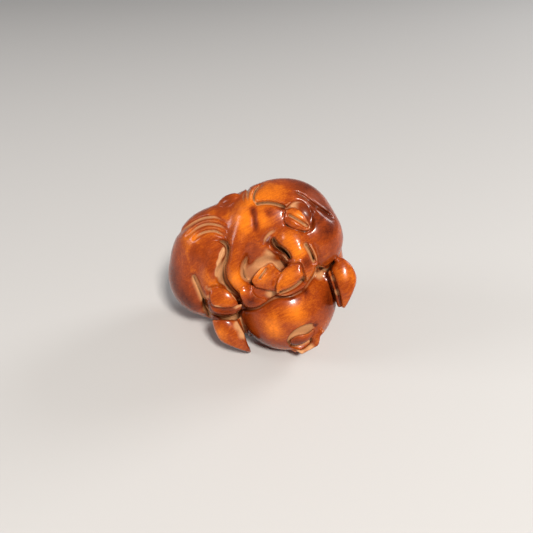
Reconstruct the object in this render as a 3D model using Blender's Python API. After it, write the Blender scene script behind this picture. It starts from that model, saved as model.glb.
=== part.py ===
"""A small pig carved from one block of boxwood, curled up on its back with its legs folded on its belly.

The carving is worked out in view units, and VIEW_WIDTH of them make its width. A place on the front is
given as the front view shows it, x to the right and y down, and its lift is how far it stands out from
the ball or the head that carries it. In space X runs to the right, Y away from the front and Z up.
"""

from __future__ import annotations

import math
from collections.abc import Sequence
from dataclasses import dataclass
from enum import Enum

import bpy
import numpy as np
from numpy.typing import ArrayLike

# Real sizes in metres: the whole carving, then the forms and the cuts that the carver's tools leave.
CARVING_WIDTH = 0.0460
CARVING_DEPTH = 0.0331
CARVING_HEIGHT = 0.0415
FLAT_DEPTH = 0.0005
HOOF_HEIGHT = 0.0022
EAR_THICKNESS = 0.0042
TAIL_THICKNESS = 0.0025
LIP_THICKNESS = 0.0016
WRINKLE_WIDTH = 0.00046
WRINKLE_DEPTH = 0.00080
CLEFT_WIDTH = 0.00034
CLEFT_DEPTH = 0.00068
CREASE_WIDTH = 0.00055
CREASE_DEPTH = 0.00150
CHANNEL_WIDTH = 0.00086
CHANNEL_DEPTH = 0.00215

# The grid that the form is read on, and the faces that the solid keeps.
VIEW_WIDTH = 180.0
GRID_STEP = 1.2
FACES_KEPT = 9400
FLAT_TOLERANCE = 0.00002

Array = np.ndarray
Spot = tuple[float, float]
Place = Sequence[float]
Path = Sequence[Spot]
Cells = tuple[Array, ...]


@dataclass(frozen=True)
class Cut:
    """A line that a tool leaves: its half width and its depth, in metres."""

    width: float
    depth: float


class Tool(Enum):
    """The carver's tools, by the line that each leaves."""

    WRINKLE = "wrinkle"
    CLEFT = "cleft"
    CREASE = "crease"
    CHANNEL = "channel"


@dataclass(frozen=True)
class CarvingSizes:
    """The real sizes of the carving, in metres."""

    width: float
    depth: float
    height: float
    flat_depth: float
    cuts: dict[Tool, Cut]
    hoof_height: float
    ear_thickness: float
    tail_thickness: float
    lip_thickness: float

    @property
    def unit(self) -> float:
        """The length of one view unit."""
        return self.width / VIEW_WIDTH

    def in_units(self, tool: Tool) -> tuple[float, float]:
        """The half width and the depth of a tool's line in view units."""
        return self.cuts[tool].width / self.unit, self.cuts[tool].depth / self.unit


def unit(vector: ArrayLike) -> Array:
    """The vector, or each row of vectors, at length one."""
    vector = np.asarray(vector, float)
    return vector / np.linalg.norm(vector, axis=-1, keepdims=True)


class View:
    """A place to look from. Its turn is about Z, and its tilt is how far it looks down."""

    def __init__(self, turn: float, tilt: float, distance: float, aim: Place, centre: Spot) -> None:
        turn, tilt = math.radians(turn), math.radians(tilt)
        level = np.array([math.sin(turn), math.cos(turn), 0.0])
        self.across = np.array([math.cos(turn), -math.sin(turn), 0.0])
        self.ahead = level * math.cos(tilt) - np.array([0.0, 0.0, math.sin(tilt)])
        self.up = level * math.sin(tilt) + np.array([0.0, 0.0, math.cos(tilt)])
        self.distance = distance
        self.eye = np.asarray(aim, float) - distance * self.ahead
        self.centre = centre

    def sight(self, x: float, y: float) -> Array:
        """The direction in which the view sees a spot.

        Args:
            x: How far the spot lies to the right.
            y: How far it lies down.

        Returns:
            The direction in space, at length one.
        """
        right, down = x - self.centre[0], y - self.centre[1]
        return unit(self.ahead * self.distance + self.across * right - self.up * down)

    def at_depth(self, x: float, y: float, depth: float) -> Array:
        """The point that the view sees at x, y where Y is depth."""
        way = self.sight(x, y)
        return self.eye + way * (depth - self.eye[1]) / way[1]

    def at_height(self, x: float, y: float, height: float) -> Array:
        """The point that the view sees at x, y where Z is height."""
        way = self.sight(x, y)
        return self.eye + way * (height - self.eye[2]) / way[2]

    def project(self, x: Array, y: Array, z: Array) -> tuple[Array, Array]:
        """Where the view shows points.

        Args:
            x: Their places along X.
            y: Their places along Y.
            z: Their places along Z.

        Returns:
            How far each shows to the right, and how far down.
        """
        x, y, z = x - self.eye[0], y - self.eye[1], z - self.eye[2]
        near, right, up = (a[0] * x + a[1] * y + a[2] * z for a in (self.ahead, self.across, self.up))
        scale = self.distance / near
        return self.centre[0] + right * scale, self.centre[1] - up * scale


FRONT = View(turn=0, tilt=35.5, distance=534, aim=(0, 0, 69), centre=(240, 266.5))
BACK = View(turn=180, tilt=10, distance=534, aim=(10, 0, 80), centre=(0, 0))


class Form:
    """A solid shape in space, which knows how far any point lies outside it."""

    def reach(self) -> tuple[Array, Array]:
        """The corners of a box that holds the form."""
        half = np.linalg.norm(self.axes.T * self.radii, axis=1)
        return self.centre - half, self.centre + half

    def distance(self, x: Array, y: Array, z: Array) -> Array:
        """How far points lie outside the form, negative inside it."""
        raise NotImplementedError(type(self).__name__)


class Ellipsoid(Form):
    """A ball with three radii along its own axes, which are rows."""

    def __init__(self, centre: Place, radii: Place, axes: ArrayLike | None = None) -> None:
        self.centre = np.asarray(centre, float)
        self.radii = np.asarray(radii, float)
        self.axes = np.eye(3) if axes is None else np.asarray(axes, float)

    def distance(self, x: Array, y: Array, z: Array) -> Array:
        """How far points lie outside the ball.

        Args:
            x: Their places along X.
            y: Their places along Y.
            z: Their places along Z.

        Returns:
            The distance of each, negative inside.
        """
        x, y, z = x - self.centre[0], y - self.centre[1], z - self.centre[2]
        local = [a[0] * x + a[1] * y + a[2] * z for a in self.axes]
        return rounded_distance(local, self.radii)

    def normal(self, point: ArrayLike) -> Array:
        """The outward direction of the ball at a point, or at rows of points."""
        local = (np.asarray(point, float) - self.centre) @ self.axes.T
        return unit((local / self.radii**2) @ self.axes)

    def seen(self, x: float, y: float, lift: float = 0.0) -> Array:
        """The point of the ball that the front view shows at a spot.

        Args:
            x: How far the spot lies to the right.
            y: How far it lies down.
            lift: How far the point is moved out of the ball.

        Returns:
            The point in space, or the nearest rim of the ball where the view shows it beside the ball.
        """
        way = FRONT.sight(x, y)
        start = self.axes @ (FRONT.eye - self.centre) / self.radii
        run = self.axes @ way / self.radii
        a, b, c = run @ run, start @ run, start @ start - 1
        inside = max(b * b - a * c, 0.0)
        point = FRONT.eye + way * (-b - math.sqrt(inside)) / a
        return point + lift * self.normal(point)


def rounded_distance(local: Sequence[Array], radii: Sequence[float]) -> Array:
    """How far points lie outside an ellipsoid at the origin, closest to the truth near its surface.

    Args:
        local: The places of the points along the ellipsoid's three axes.
        radii: Its three radii.

    Returns:
        The distance of each point, negative inside.
    """
    near = np.sqrt(sum((q / r) ** 2 for q, r in zip(local, radii)))
    slope = np.sqrt(sum((q / r**2) ** 2 for q, r in zip(local, radii)))
    return near * (near - 1) / np.maximum(slope, 1e-6)


def smooth_line(points: ArrayLike, steps: int = 5) -> Array:
    """A curve through points.

    Args:
        points: The points, one in each row.
        steps: How many short runs lie between each two of them.

    Returns:
        The points of the curve, one in each row.
    """
    points = np.asarray(points, float)
    if len(points) < 3:
        return points
    ends = np.vstack([2 * points[0] - points[1], points, 2 * points[-1] - points[-2]])
    share = np.arange(steps)[:, None] / steps
    runs = []
    for a, b, c, d in zip(ends, ends[1:], ends[2:], ends[3:]):
        bend = (2 * a - 5 * b + 4 * c - d) * share**2 + (3 * b - a - 3 * c + d) * share**3
        runs.append(b + 0.5 * ((c - a) * share + bend))
    return np.vstack(runs + [points[-1:]])


def beside(line: Array, x: Array, y: Array) -> tuple[Array, Array, Array]:
    """How spots lie to a line of straight runs.

    Args:
        line: The points of the line.
        x: How far each spot lies to the right.
        y: How far it lies down.

    Returns:
        The distance of each to the line, 1 or -1 for its side of it, and its share along it.
    """
    away, side, share = np.full(len(x), np.inf), np.zeros(len(x)), np.zeros(len(x))
    for i, (a, b) in enumerate(zip(line, line[1:])):
        run = b - a
        part = np.clip(((x - a[0]) * run[0] + (y - a[1]) * run[1]) / max(run @ run, 1e-9), 0, 1)
        rest, below = x - a[0] - part * run[0], y - a[1] - part * run[1]
        this = np.hypot(rest, below)
        closer = this < away
        away = np.where(closer, this, away)
        side = np.where(closer, np.sign(run[0] * below - run[1] * rest), side)
        share = np.where(closer, (i + part) / (len(line) - 1), share)
    return away, side, share


def within(line: Array, x: Array, y: Array) -> Array:
    """Whether spots lie within a closed line.

    Args:
        line: The points of the line, the last at the first.
        x: How far each spot lies to the right.
        y: How far it lies down.

    Returns:
        True for each spot that does.
    """
    inside = np.zeros(len(x), bool)
    for a, b in zip(line, line[1:]):
        if a[1] != b[1]:
            crossing = a[0] + (y - a[1]) * (b[0] - a[0]) / (b[1] - a[1])
            inside ^= ((y >= a[1]) != (y >= b[1])) & (x < crossing)
    return inside


class Limb(Form):
    """A round limb along a smooth line of points, each with its own radius."""

    def __init__(self, points: Sequence[Place], radii: Sequence[float]) -> None:
        self.line = smooth_line(np.column_stack([points, radii]))

    @classmethod
    def on(cls, carrier: Ellipsoid, *places: Sequence[float]) -> Limb:
        """A limb through places x, y, lift, radius as the front view shows them on a ball."""
        return cls([carrier.seen(x, y, lift) for x, y, lift, _ in places], [p[3] for p in places])

    def reach(self) -> tuple[Array, Array]:
        """The corners of a box that holds the limb."""
        points, radii = self.line[:, :3], self.line[:, 3:]
        return (points - radii).min(0), (points + radii).max(0)

    def distance(self, x: Array, y: Array, z: Array) -> Array:
        """How far points lie outside the limb.

        Args:
            x: Their places along X.
            y: Their places along Y.
            z: Their places along Z.

        Returns:
            The distance of each, negative inside.
        """
        nearest = np.float32(np.inf)
        for a, b in zip(self.line, self.line[1:]):
            run = b - a
            px, py, pz = x - a[0], y - a[1], z - a[2]
            share = (px * run[0] + py * run[1] + pz * run[2]) / max(run[:3] @ run[:3], 1e-9)
            share = np.clip(share, 0, 1)
            away = (px - share * run[0]) ** 2 + (py - share * run[1]) ** 2 + (pz - share * run[2]) ** 2
            nearest = np.minimum(nearest, np.sqrt(away) - a[3] - share * run[3])
        return nearest


class Leaf(Form):
    """A bean or leaf from base to tip, with half its width and thickness given, slimmer towards the tip.

    Its out is the direction in which its flat side faces, and slim is how much narrower it gets at the tip.
    """

    def __init__(
        self, base: Place, tip: Place, width: float, thick: float, out: Place, slim: float = 0.4
    ) -> None:
        base, tip, out = (np.asarray(a, float) for a in (base, tip, out))
        along = unit(tip - base)
        out = unit(out - along * (out @ along))
        self.centre = (base + tip) / 2
        self.axes = np.array([along, np.cross(out, along), out])
        self.radii = np.array([np.linalg.norm(tip - base) / 2, width, thick])
        self.slim = slim

    @classmethod
    def hoof(cls, base: Place, tip: Place, width: float, thick: float, slim: float = 0.4) -> Leaf:
        """A hoof on the ball, turned half outwards and half to the front.

        Args:
            base: Where it starts, as x, y and lift.
            tip: Where it ends, likewise.
            width: Half its width.
            thick: Half its thickness.
            slim: How much narrower it gets at the tip.

        Returns:
            The hoof as a leaf.
        """
        start, end = BALL.seen(*base), BALL.seen(*tip)
        to_front = -FRONT.sight((base[0] + tip[0]) / 2, (base[1] + tip[1]) / 2)
        return cls(start, end, width, thick, BALL.normal((start + end) / 2) + to_front, slim)

    def distance(self, x: Array, y: Array, z: Array) -> Array:
        """How far points lie outside the leaf.

        Args:
            x: Their places along X.
            y: Their places along Y.
            z: Their places along Z.

        Returns:
            The distance of each, negative inside.
        """
        x, y, z = x - self.centre[0], y - self.centre[1], z - self.centre[2]
        along, wide, thick = (a[0] * x + a[1] * y + a[2] * z for a in self.axes)
        size = 1 - self.slim * np.clip(along / self.radii[0], 0, 1.2) ** 1.6
        size = np.maximum(size, 0.15)
        return rounded_distance((along, wide / size, thick / size), self.radii) * np.maximum(size, 0.4)


class Trimmed(Form):
    """A form that is trimmed to an outline, as the front view shows it, with the rim rounded over edge."""

    def __init__(self, form: Form, corners: Path, edge: float = 2.0, steps: int = 4) -> None:
        self.form = form
        self.outline = smooth_line([*corners, corners[0]], steps)
        self.edge = edge

    def reach(self) -> tuple[Array, Array]:
        """The corners of a box that holds the form."""
        return self.form.reach()

    def distance(self, x: Array, y: Array, z: Array) -> Array:
        """How far points lie outside what the trimming leaves.

        Args:
            x: Their places along X.
            y: Their places along Y.
            z: Their places along Z.

        Returns:
            The distance of each, negative inside.
        """
        away = self.form.distance(x, y, z)
        near = np.nonzero(away < self.edge)
        across, down = (a[near] for a in np.broadcast_arrays(*FRONT.project(x, y, z)))
        rim, _, _ = beside(self.outline, across, down)
        rim = np.where(within(self.outline, across, down), -rim, rim)
        away[near] = -soft_min(-away[near], -rim, self.edge)
        return away


# The ball that all but the head is carved on, as the front view shows it, and the head.
BALL_ROLL, BALL_YAW = math.radians(39.7), math.radians(-9)
BALL_FLAT = (-math.sin(BALL_YAW), math.cos(BALL_YAW), 0.0)
BALL_LONG = math.cos(BALL_ROLL) * np.cross(BALL_FLAT, (0, 0, 1)) + (0, 0, math.sin(BALL_ROLL))
BALL_AXES = np.array([BALL_LONG, BALL_FLAT, np.cross(BALL_LONG, BALL_FLAT)])
BALL_RADII = np.array([96.4, 56.2, 66.9])
BALL = Ellipsoid((9.6, 2.2, 80.0), BALL_RADII, BALL_AXES)
HEAD = Ellipsoid(FRONT.at_depth(286.5, 305, -30), (46, 43, 43.5))
CHEEK = Ellipsoid(FRONT.at_depth(311, 292, -23), (25, 30, 28))


def soft_min(a: Array, b: Array, blend: float) -> Array:
    """The smaller of two distances, with a fillet where they meet.

    Args:
        a: The one distance at each place.
        b: The other.
        blend: How far from the corner the fillet starts.

    Returns:
        The joined distance at each place.
    """
    overlap = np.clip(blend - np.abs(a - b), 0, None)
    return np.minimum(a, b) - overlap**2 / (4 * max(blend, 1e-6))


class Clay:
    """A block of space that knows its distance to the form, negative inside the wood."""

    REACH = 14.0

    def __init__(self, low: Place, high: Place, step: float) -> None:
        self.low, self.step = np.asarray(low, float), step
        count = np.ceil((np.asarray(high) - self.low) / step).astype(int) + 1
        self.axis = [(a + step * np.arange(n)).astype(np.float32) for a, n in zip(self.low, count)]
        self.field = np.full(tuple(count), 40.0, np.float32)
        self.bands: dict[View, tuple[Cells, Array, Array]] = {}

    def box_round(self, form: Form, margin: float) -> tuple[slice, ...]:
        """The cells of a box round a form.

        Args:
            form: The form that the box holds.
            margin: How much wider the box is on each side.

        Returns:
            The slice of cells along each axis.
        """
        low, high = form.reach()
        first = np.floor((low - margin - self.low) / self.step).astype(int)
        last = np.ceil((high + margin - self.low) / self.step).astype(int) + 1
        return tuple(slice(max(a, 0), max(b, 1)) for a, b in zip(first, last))

    def join(self, form: Form, blend: float, sign: int) -> None:
        """Adds a form or cuts it away.

        Args:
            form: The form.
            blend: How far from the corner between form and wood the fillet starts.
            sign: 1 to add the form and -1 to cut it away.
        """
        box = self.box_round(form, blend + 3 * self.step + 6)
        x, y, z = (a[s] for a, s in zip(self.axis, box))
        away = form.distance(x[:, None, None], y[None, :, None], z[None, None, :])
        self.field[box] = sign * soft_min(sign * self.field[box], away, blend)
        self.bands.clear()

    def add(self, form: Form, blend: float = 4.0) -> None:
        """Joins a form to the wood, with the corner filled over blend."""
        self.join(form, blend, 1)

    def cut(self, form: Form, blend: float = 1.0) -> None:
        """Takes a form away from the wood."""
        self.join(form, blend, -1)

    def near(self, view: View, line: Array, reach: float) -> tuple[Cells, Array, Array, Array]:
        """The cells near the surface that a view shows within a box round a line.

        Args:
            view: The view that shows the line.
            line: Its points in that view.
            reach: How far beyond the line the box goes.

        Returns:
            The cells, how far to the right and how far down each shows, and how much each faces the view.
        """
        if view not in self.bands:
            cells = np.nonzero(np.abs(self.field) < self.REACH)
            self.bands[view] = cells, *view.project(*(a[i] for a, i in zip(self.axis, cells)))
        cells, across, down = self.bands[view]
        (left, top), (right, bottom) = line.min(0) - reach, line.max(0) + reach
        inside = np.nonzero((across > left) & (across < right) & (down > top) & (down < bottom))[0]
        cells = tuple(c[inside] for c in cells)
        points = np.column_stack([a[i] for a, i in zip(self.axis, cells)])
        facing = (BALL.normal(points) * unit(view.eye - points)).sum(-1)
        return cells, across[inside], down[inside], np.clip(facing * 6 + 0.9, 0, 1)

    def sink(self, cells: Cells, depth: Array) -> None:
        """Moves the surface into the wood by a depth at each of some cells, or out where it is negative."""
        self.field[cells] += depth

    def groove(
        self, points: Path, width: float, depth: float, fade: float = 0.15, view: View = FRONT
    ) -> None:
        """Sinks the surface along a line, or raises a ridge there.

        Args:
            points: The line as the view shows it.
            width: Half the width of the groove.
            depth: Its depth, negative for a ridge.
            fade: The share of the line over which it runs out at each end.
            view: The view that shows the line.
        """
        line = smooth_line(points, 6)
        cells, x, y, facing = self.near(view, line, 3 * width)
        away, _, share = beside(line, x, y)
        ends = np.clip(np.minimum(share, 1 - share) / fade, 0, 1) ** 0.7
        self.sink(cells, depth * np.exp(-((away / width) ** 2)) * ends * facing)

    def ledge(self, points: Path, width: float, depth: float, fade: float = 0.2, view: View = FRONT) -> None:
        """Sinks the surface on the right of a line, as one walks along it.

        Args:
            points: The line as the view shows it.
            width: How far from the line the surface is back at its old level.
            depth: How far it drops beside the line.
            fade: The share of the line over which it runs out at each end.
            view: The view that shows the line.
        """
        line = smooth_line(points, 6)
        cells, x, y, facing = self.near(view, line, 3 * width)
        away, side, share = beside(line, x, y)
        drop = np.exp(-((away / width) ** 2)) * np.clip(side * away / 1.2 + 0.5, 0, 1)
        ends = np.clip(np.minimum(share, 1 - share) / fade, 0, 1) ** 0.7
        self.sink(cells, depth * drop * ends * facing)

    def patch(self, corners: Path, depth: float, edge: float, view: View = FRONT) -> None:
        """Sinks the surface inside an outline, or raises it there.

        Args:
            corners: The outline as the view shows it.
            depth: How far the surface goes down, negative to raise it.
            edge: How far in from the outline it reaches that depth.
            view: The view that shows the outline.
        """
        line = smooth_line([*corners, corners[0]], 4)
        cells, x, y, facing = self.near(view, line, 1.0)
        away, _, _ = beside(line, x, y)
        slope = np.clip(away / edge, 0, 1)
        self.sink(cells, depth * slope**2 * (3 - 2 * slope) * within(line, x, y) * facing)

    def soften(self, reach: float = 2.5) -> None:
        """Rounds the surface over about one cell, which closes the tiny holes that cuts leave in steep walls.

        Args:
            reach: How many cells from the surface the rounding takes into account.
        """
        self.field = np.clip(self.field, -reach * self.step, reach * self.step)
        for axis in range(3):
            field = np.moveaxis(self.field, axis, 0)
            field[1:-1] = (field[:-2] + 2 * field[1:-1] + field[2:]) / 4

    def plane_off(self, height: float) -> None:
        """Takes away all that lies below a height."""
        self.field = np.maximum(self.field, height - self.axis[2][None, None, :])

    def fill_corners(self) -> None:
        """Joins the places where the wood would meet itself only along an edge between two cells."""
        filled = 1
        while filled:
            filled = 0
            for pair in ((0, 1), (0, 2), (1, 2)):
                field = np.moveaxis(self.field, pair, (0, 1))
                here, there, over, up = field[:-1, :-1], field[1:, 1:], field[1:, :-1], field[:-1, 1:]
                across = (here < 0) & (there < 0) & (over >= 0) & (up >= 0)
                over[across] = -0.4 * self.step
                across_too = (over < 0) & (up < 0) & (here >= 0) & (there >= 0)
                here[across_too] = -0.4 * self.step
                filled += np.count_nonzero(across) + np.count_nonzero(across_too)

    def make_one_body(self) -> None:
        """Fills the hollows that the air outside cannot reach, and drops the crumbs that float free."""
        self.fill_corners()
        outside = flood(self.field >= 0, (0, 0, 0))
        self.field[(self.field >= 0) & ~outside] = -0.5 * self.step
        middle = tuple(int(round((c - a) / self.step)) for c, a in zip(BALL.centre, self.low))
        body = flood(self.field < 0, middle)
        self.field[(self.field < 0) & ~body] = 0.5 * self.step

    def surface(self) -> tuple[Array, Array]:
        """Closed faces of four round the wood, with one vertex in each cell that its surface passes.

        Returns:
            The vertices in view units, and the four vertices of each face.
        """
        inside = self.field < 0
        cells = np.array(inside.shape) - 1
        weights, quads = [], []
        for axis in range(3):
            here = tuple(slice(0, -1) if a == axis else slice(1, -1) for a in range(3))
            there = tuple(slice(1, None) if a == axis else slice(1, -1) for a in range(3))
            start, end = self.field[here], self.field[there]
            crossed = np.nonzero(inside[here] != inside[there])
            index = np.column_stack(crossed) + [int(a != axis) for a in range(3)]
            point = index.astype(float)
            point[:, axis] += start[crossed] / (start[crossed] - end[crossed])
            u, v = np.eye(3, dtype=int)[(axis + 1) % 3], np.eye(3, dtype=int)[(axis + 2) % 3]
            corners = [np.ravel_multi_index((index - shift).T, cells) for shift in (u + v, v, 0 * u, u)]
            weights += [(corner, point) for corner in corners]
            quad = np.column_stack(corners)
            quads.append(np.where(inside[here][crossed][:, None], quad, quad[:, ::-1]))
        cell = np.concatenate([a for a, _ in weights])
        point = np.vstack([b for _, b in weights])
        used, where = np.unique(cell, return_inverse=True)
        count = np.bincount(where)
        middle = np.column_stack([np.bincount(where, point[:, a]) / count for a in range(3)])
        return middle * self.step + self.low, np.searchsorted(used, np.vstack(quads))


def flood(free: Array, seed: tuple[int, ...]) -> Array:
    """The free cells that can be reached from a seed cell, swept along each axis both ways.

    Args:
        free: Whether each cell is free.
        seed: The cell to start from.

    Returns:
        Whether each cell is reached.
    """
    reached = np.zeros_like(free)
    reached[seed] = True
    count = 0
    while count < np.count_nonzero(reached):
        count = np.count_nonzero(reached)
        for axis in range(3):
            for way in (1, -1):
                open_cells = np.moveaxis(free, axis, 0)[::way]
                done = np.moveaxis(reached, axis, 0)[::way]
                for i in range(1, len(done)):
                    done[i] |= done[i - 1] & open_cells[i]
    return reached


@dataclass
class Feature:
    """A part of the carving that is worked into the clay, with its sizes turned into view units."""

    clay: Clay
    sizes: CarvingSizes

    def units(self, length: float) -> float:
        """A real length in view units."""
        return length / self.sizes.unit

    def line(self, points: Path, tool: Tool, wide: float = 1, deep: float = 1, fade: float = 0.15) -> None:
        """Cuts a line on the front.

        Args:
            points: The line as the front view shows it.
            tool: The tool that cuts it.
            wide: The share of the tool's width.
            deep: The share of its depth, negative for a raised line.
            fade: The share of the line over which it runs out at each end.
        """
        width, depth = self.sizes.in_units(tool)
        self.clay.groove(points, width * wide, depth * deep, fade)


@dataclass
class Trunk(Feature):
    """The ball of the trunk, the rump, the belly, the neck and the seat that the carving rests on."""

    def shape(self) -> None:
        """Adds the masses that everything else is carved on."""
        add = self.clay.add
        add(Ellipsoid(BALL.centre, BALL_RADII - (4, 5, 5), BALL_AXES), 0)
        add(Ellipsoid(FRONT.at_height(244, 322, 36) + (0, 24, 0), (28, 22, 28)), 6)
        add(Limb([(61, 14, 96), (76, 14, 68), (55, 0, 46)], [28, 29.5, 34]), 12)
        add(Ellipsoid((-14, 14, 32), (34, 28, 31.5)), 8)
        add(Ellipsoid(BALL.seen(228, 312, -13), (14, 12, 12)), 6)
        add(Limb.on(BALL, (236, 214, -26, 26), (252, 202, -23, 27), (269, 198, -23, 28)), 8)
        add(Ellipsoid(BALL.seen(262, 232, -30), (31, 30, 35)), 6)


@dataclass
class HindLegs(Feature):
    """The thigh and shank on the left, and the haunch on top."""

    def shape(self) -> None:
        """Adds both hind legs."""
        thigh = (208, 222, -18, 23.5), (194, 237, -24, 32.5), (185, 254, -30, 37), (183, 272, -33, 39)
        shin_end = (182.5, 289, -30, 36), (188.5, 301, -25, 29)
        shank = (214, 256, -9, 13), (210, 274, -7, 13), (207, 286, -5, 10), (207, 293, -3, 8)
        self.clay.add(Limb.on(BALL, *thigh, *shin_end), 6)
        self.clay.add(Limb.on(BALL, *shank), 5)
        self.clay.add(Ellipsoid(BALL.seen(290, 210, -38), (46, 40, 43.5)), 6)


@dataclass
class Forelegs(Feature):
    """The leg along the belly's left edge, and the leg that hooks down from the shoulder on the right."""

    def shape(self) -> None:
        """Adds both forelegs."""
        shoulder = (314, 220, -20, 24), (323.5, 240, -19, 30), (330, 251.5, -14, 20.5)
        right = (318, 234, -14, 20), (296, 236, -10, 17), (299, 250, -2, 15)
        right_wrist = (303.5, 262, 4, 12), (303, 268, 5, 10)
        left = (244, 222, -13, 15), (238, 238, -9, 12), (235, 256, -6, 10), (234, 270, -4, 9.5)
        left_wrist = (240, 284, -3, 9), (250, 293, -3, 8)
        self.clay.add(Limb.on(BALL, *shoulder), 6)
        self.clay.add(Limb.on(BALL, *left, *left_wrist), 4)
        self.clay.add(Limb.on(BALL, *right, *right_wrist), 3)


@dataclass
class Channels(Feature):
    """The hollows that part the legs, the belly and the head from one another."""

    def shape(self) -> None:
        """Cuts the hollows."""
        self.left_legs()
        self.belly()
        self.right_foreleg()
        over_head = [(243, 308), (250, 309), (258, 307.7), (266, 302.7), (272, 299), (278, 297), (285, 297.2)]
        over_head += [(293, 295.6), (304, 289.5), (310, 281.5), (315, 272.5), (317, 266)]
        self.line(over_head, Tool.CHANNEL, 0.4, 0.26, fade=0.03)

    def left_legs(self) -> None:
        """The channel that runs down between the hind leg and the foreleg on the left."""
        outer = [(205, 242.5), (209, 240), (215.5, 238.2), (222.5, 239.5), (227.6, 242.7), (230, 248)]
        outer += [(228, 257), (226, 266), (226, 273), (228, 279), (233, 286), (240, 293), (243, 300)]
        inner = [(234, 296), (225, 289), (217, 285), (213, 276), (214, 268), (218.5, 263), (223, 257)]
        inner += [(225, 251), (222, 245.5), (216, 243), (210, 243.5)]
        middle = [(219, 240.5), (225, 243), (228, 249), (226.5, 259), (223.5, 267), (223.5, 276), (227, 285)]
        middle += [(238, 297)]
        ridge = [(206, 244.5), (212, 241.8), (218, 242), (223, 246.5), (222, 254), (218.5, 262), (216.3, 271)]
        ridge += [(217.5, 280), (223, 287.5)]
        self.clay.patch([*outer, (241, 303.5), *inner], 0.4 * self.channel, 4)
        self.line(middle, Tool.CHANNEL, 0.6, 0.36, fade=0.1)
        self.line(ridge, Tool.CREASE, 0.75, -0.24, fade=0.15)

    def belly(self) -> None:
        """The hollow on the belly that the hoof in the middle lies in, and the line along its wrist."""
        hollow = [(246, 262), (252, 260), (258, 257), (266, 254), (274, 256), (281, 261), (284, 268)]
        hollow += [(282, 278), (280, 290), (268, 300), (256, 297), (250, 290), (243, 282), (241, 272)]
        wrist = [(247.5, 254), (245, 262), (243.3, 270), (244, 277), (248, 280.5)]
        self.clay.patch(hollow, 0.26 * self.channel, 6)
        self.line(wrist, Tool.CHANNEL, 0.72, 0.42, fade=0.25)
        self.line([(243.5, 258), (241, 266), (240.3, 273), (242, 279)], Tool.CREASE, 0.6, 0.25, fade=0.3)

    def right_foreleg(self) -> None:
        """The deep recess under the hooked foreleg, its bright rim, and the line on the leg's other side."""
        recess = [(274, 235.5), (270.6, 239.5), (270, 244), (273, 247.8), (279, 251.3), (285, 255)]
        recess += [(288.5, 259.5), (292.5, 258.5), (290, 252), (285, 247), (279.5, 243.5), (277, 239.5)]
        rim = [(268.5, 246), (271, 249.5), (277.5, 253.6), (285, 258), (289, 263)]
        scoop = [(263, 245), (266, 238), (271, 232.5), (279, 229.5)]
        self.clay.patch(recess, self.channel, 3)
        self.line(rim, Tool.CREASE, 0.8, -0.3)
        self.line(scoop, Tool.CHANNEL, 0.75, 0.32, fade=0.3)
        self.line([(304, 242), (308, 247.5), (312, 255), (315, 264)], Tool.CREASE, 1.1, 0.85, fade=0.2)
        self.line([(309, 243), (313, 249), (316, 256), (317.5, 262)], Tool.CREASE, 0.7, -0.26, fade=0.2)
        self.line([(312, 242), (316.5, 248), (319, 256), (319.3, 263)], Tool.CREASE, 0.8, 0.25, fade=0.3)

    @property
    def channel(self) -> float:
        """The depth of a channel in view units."""
        return self.sizes.in_units(Tool.CHANNEL)[1]


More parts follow.
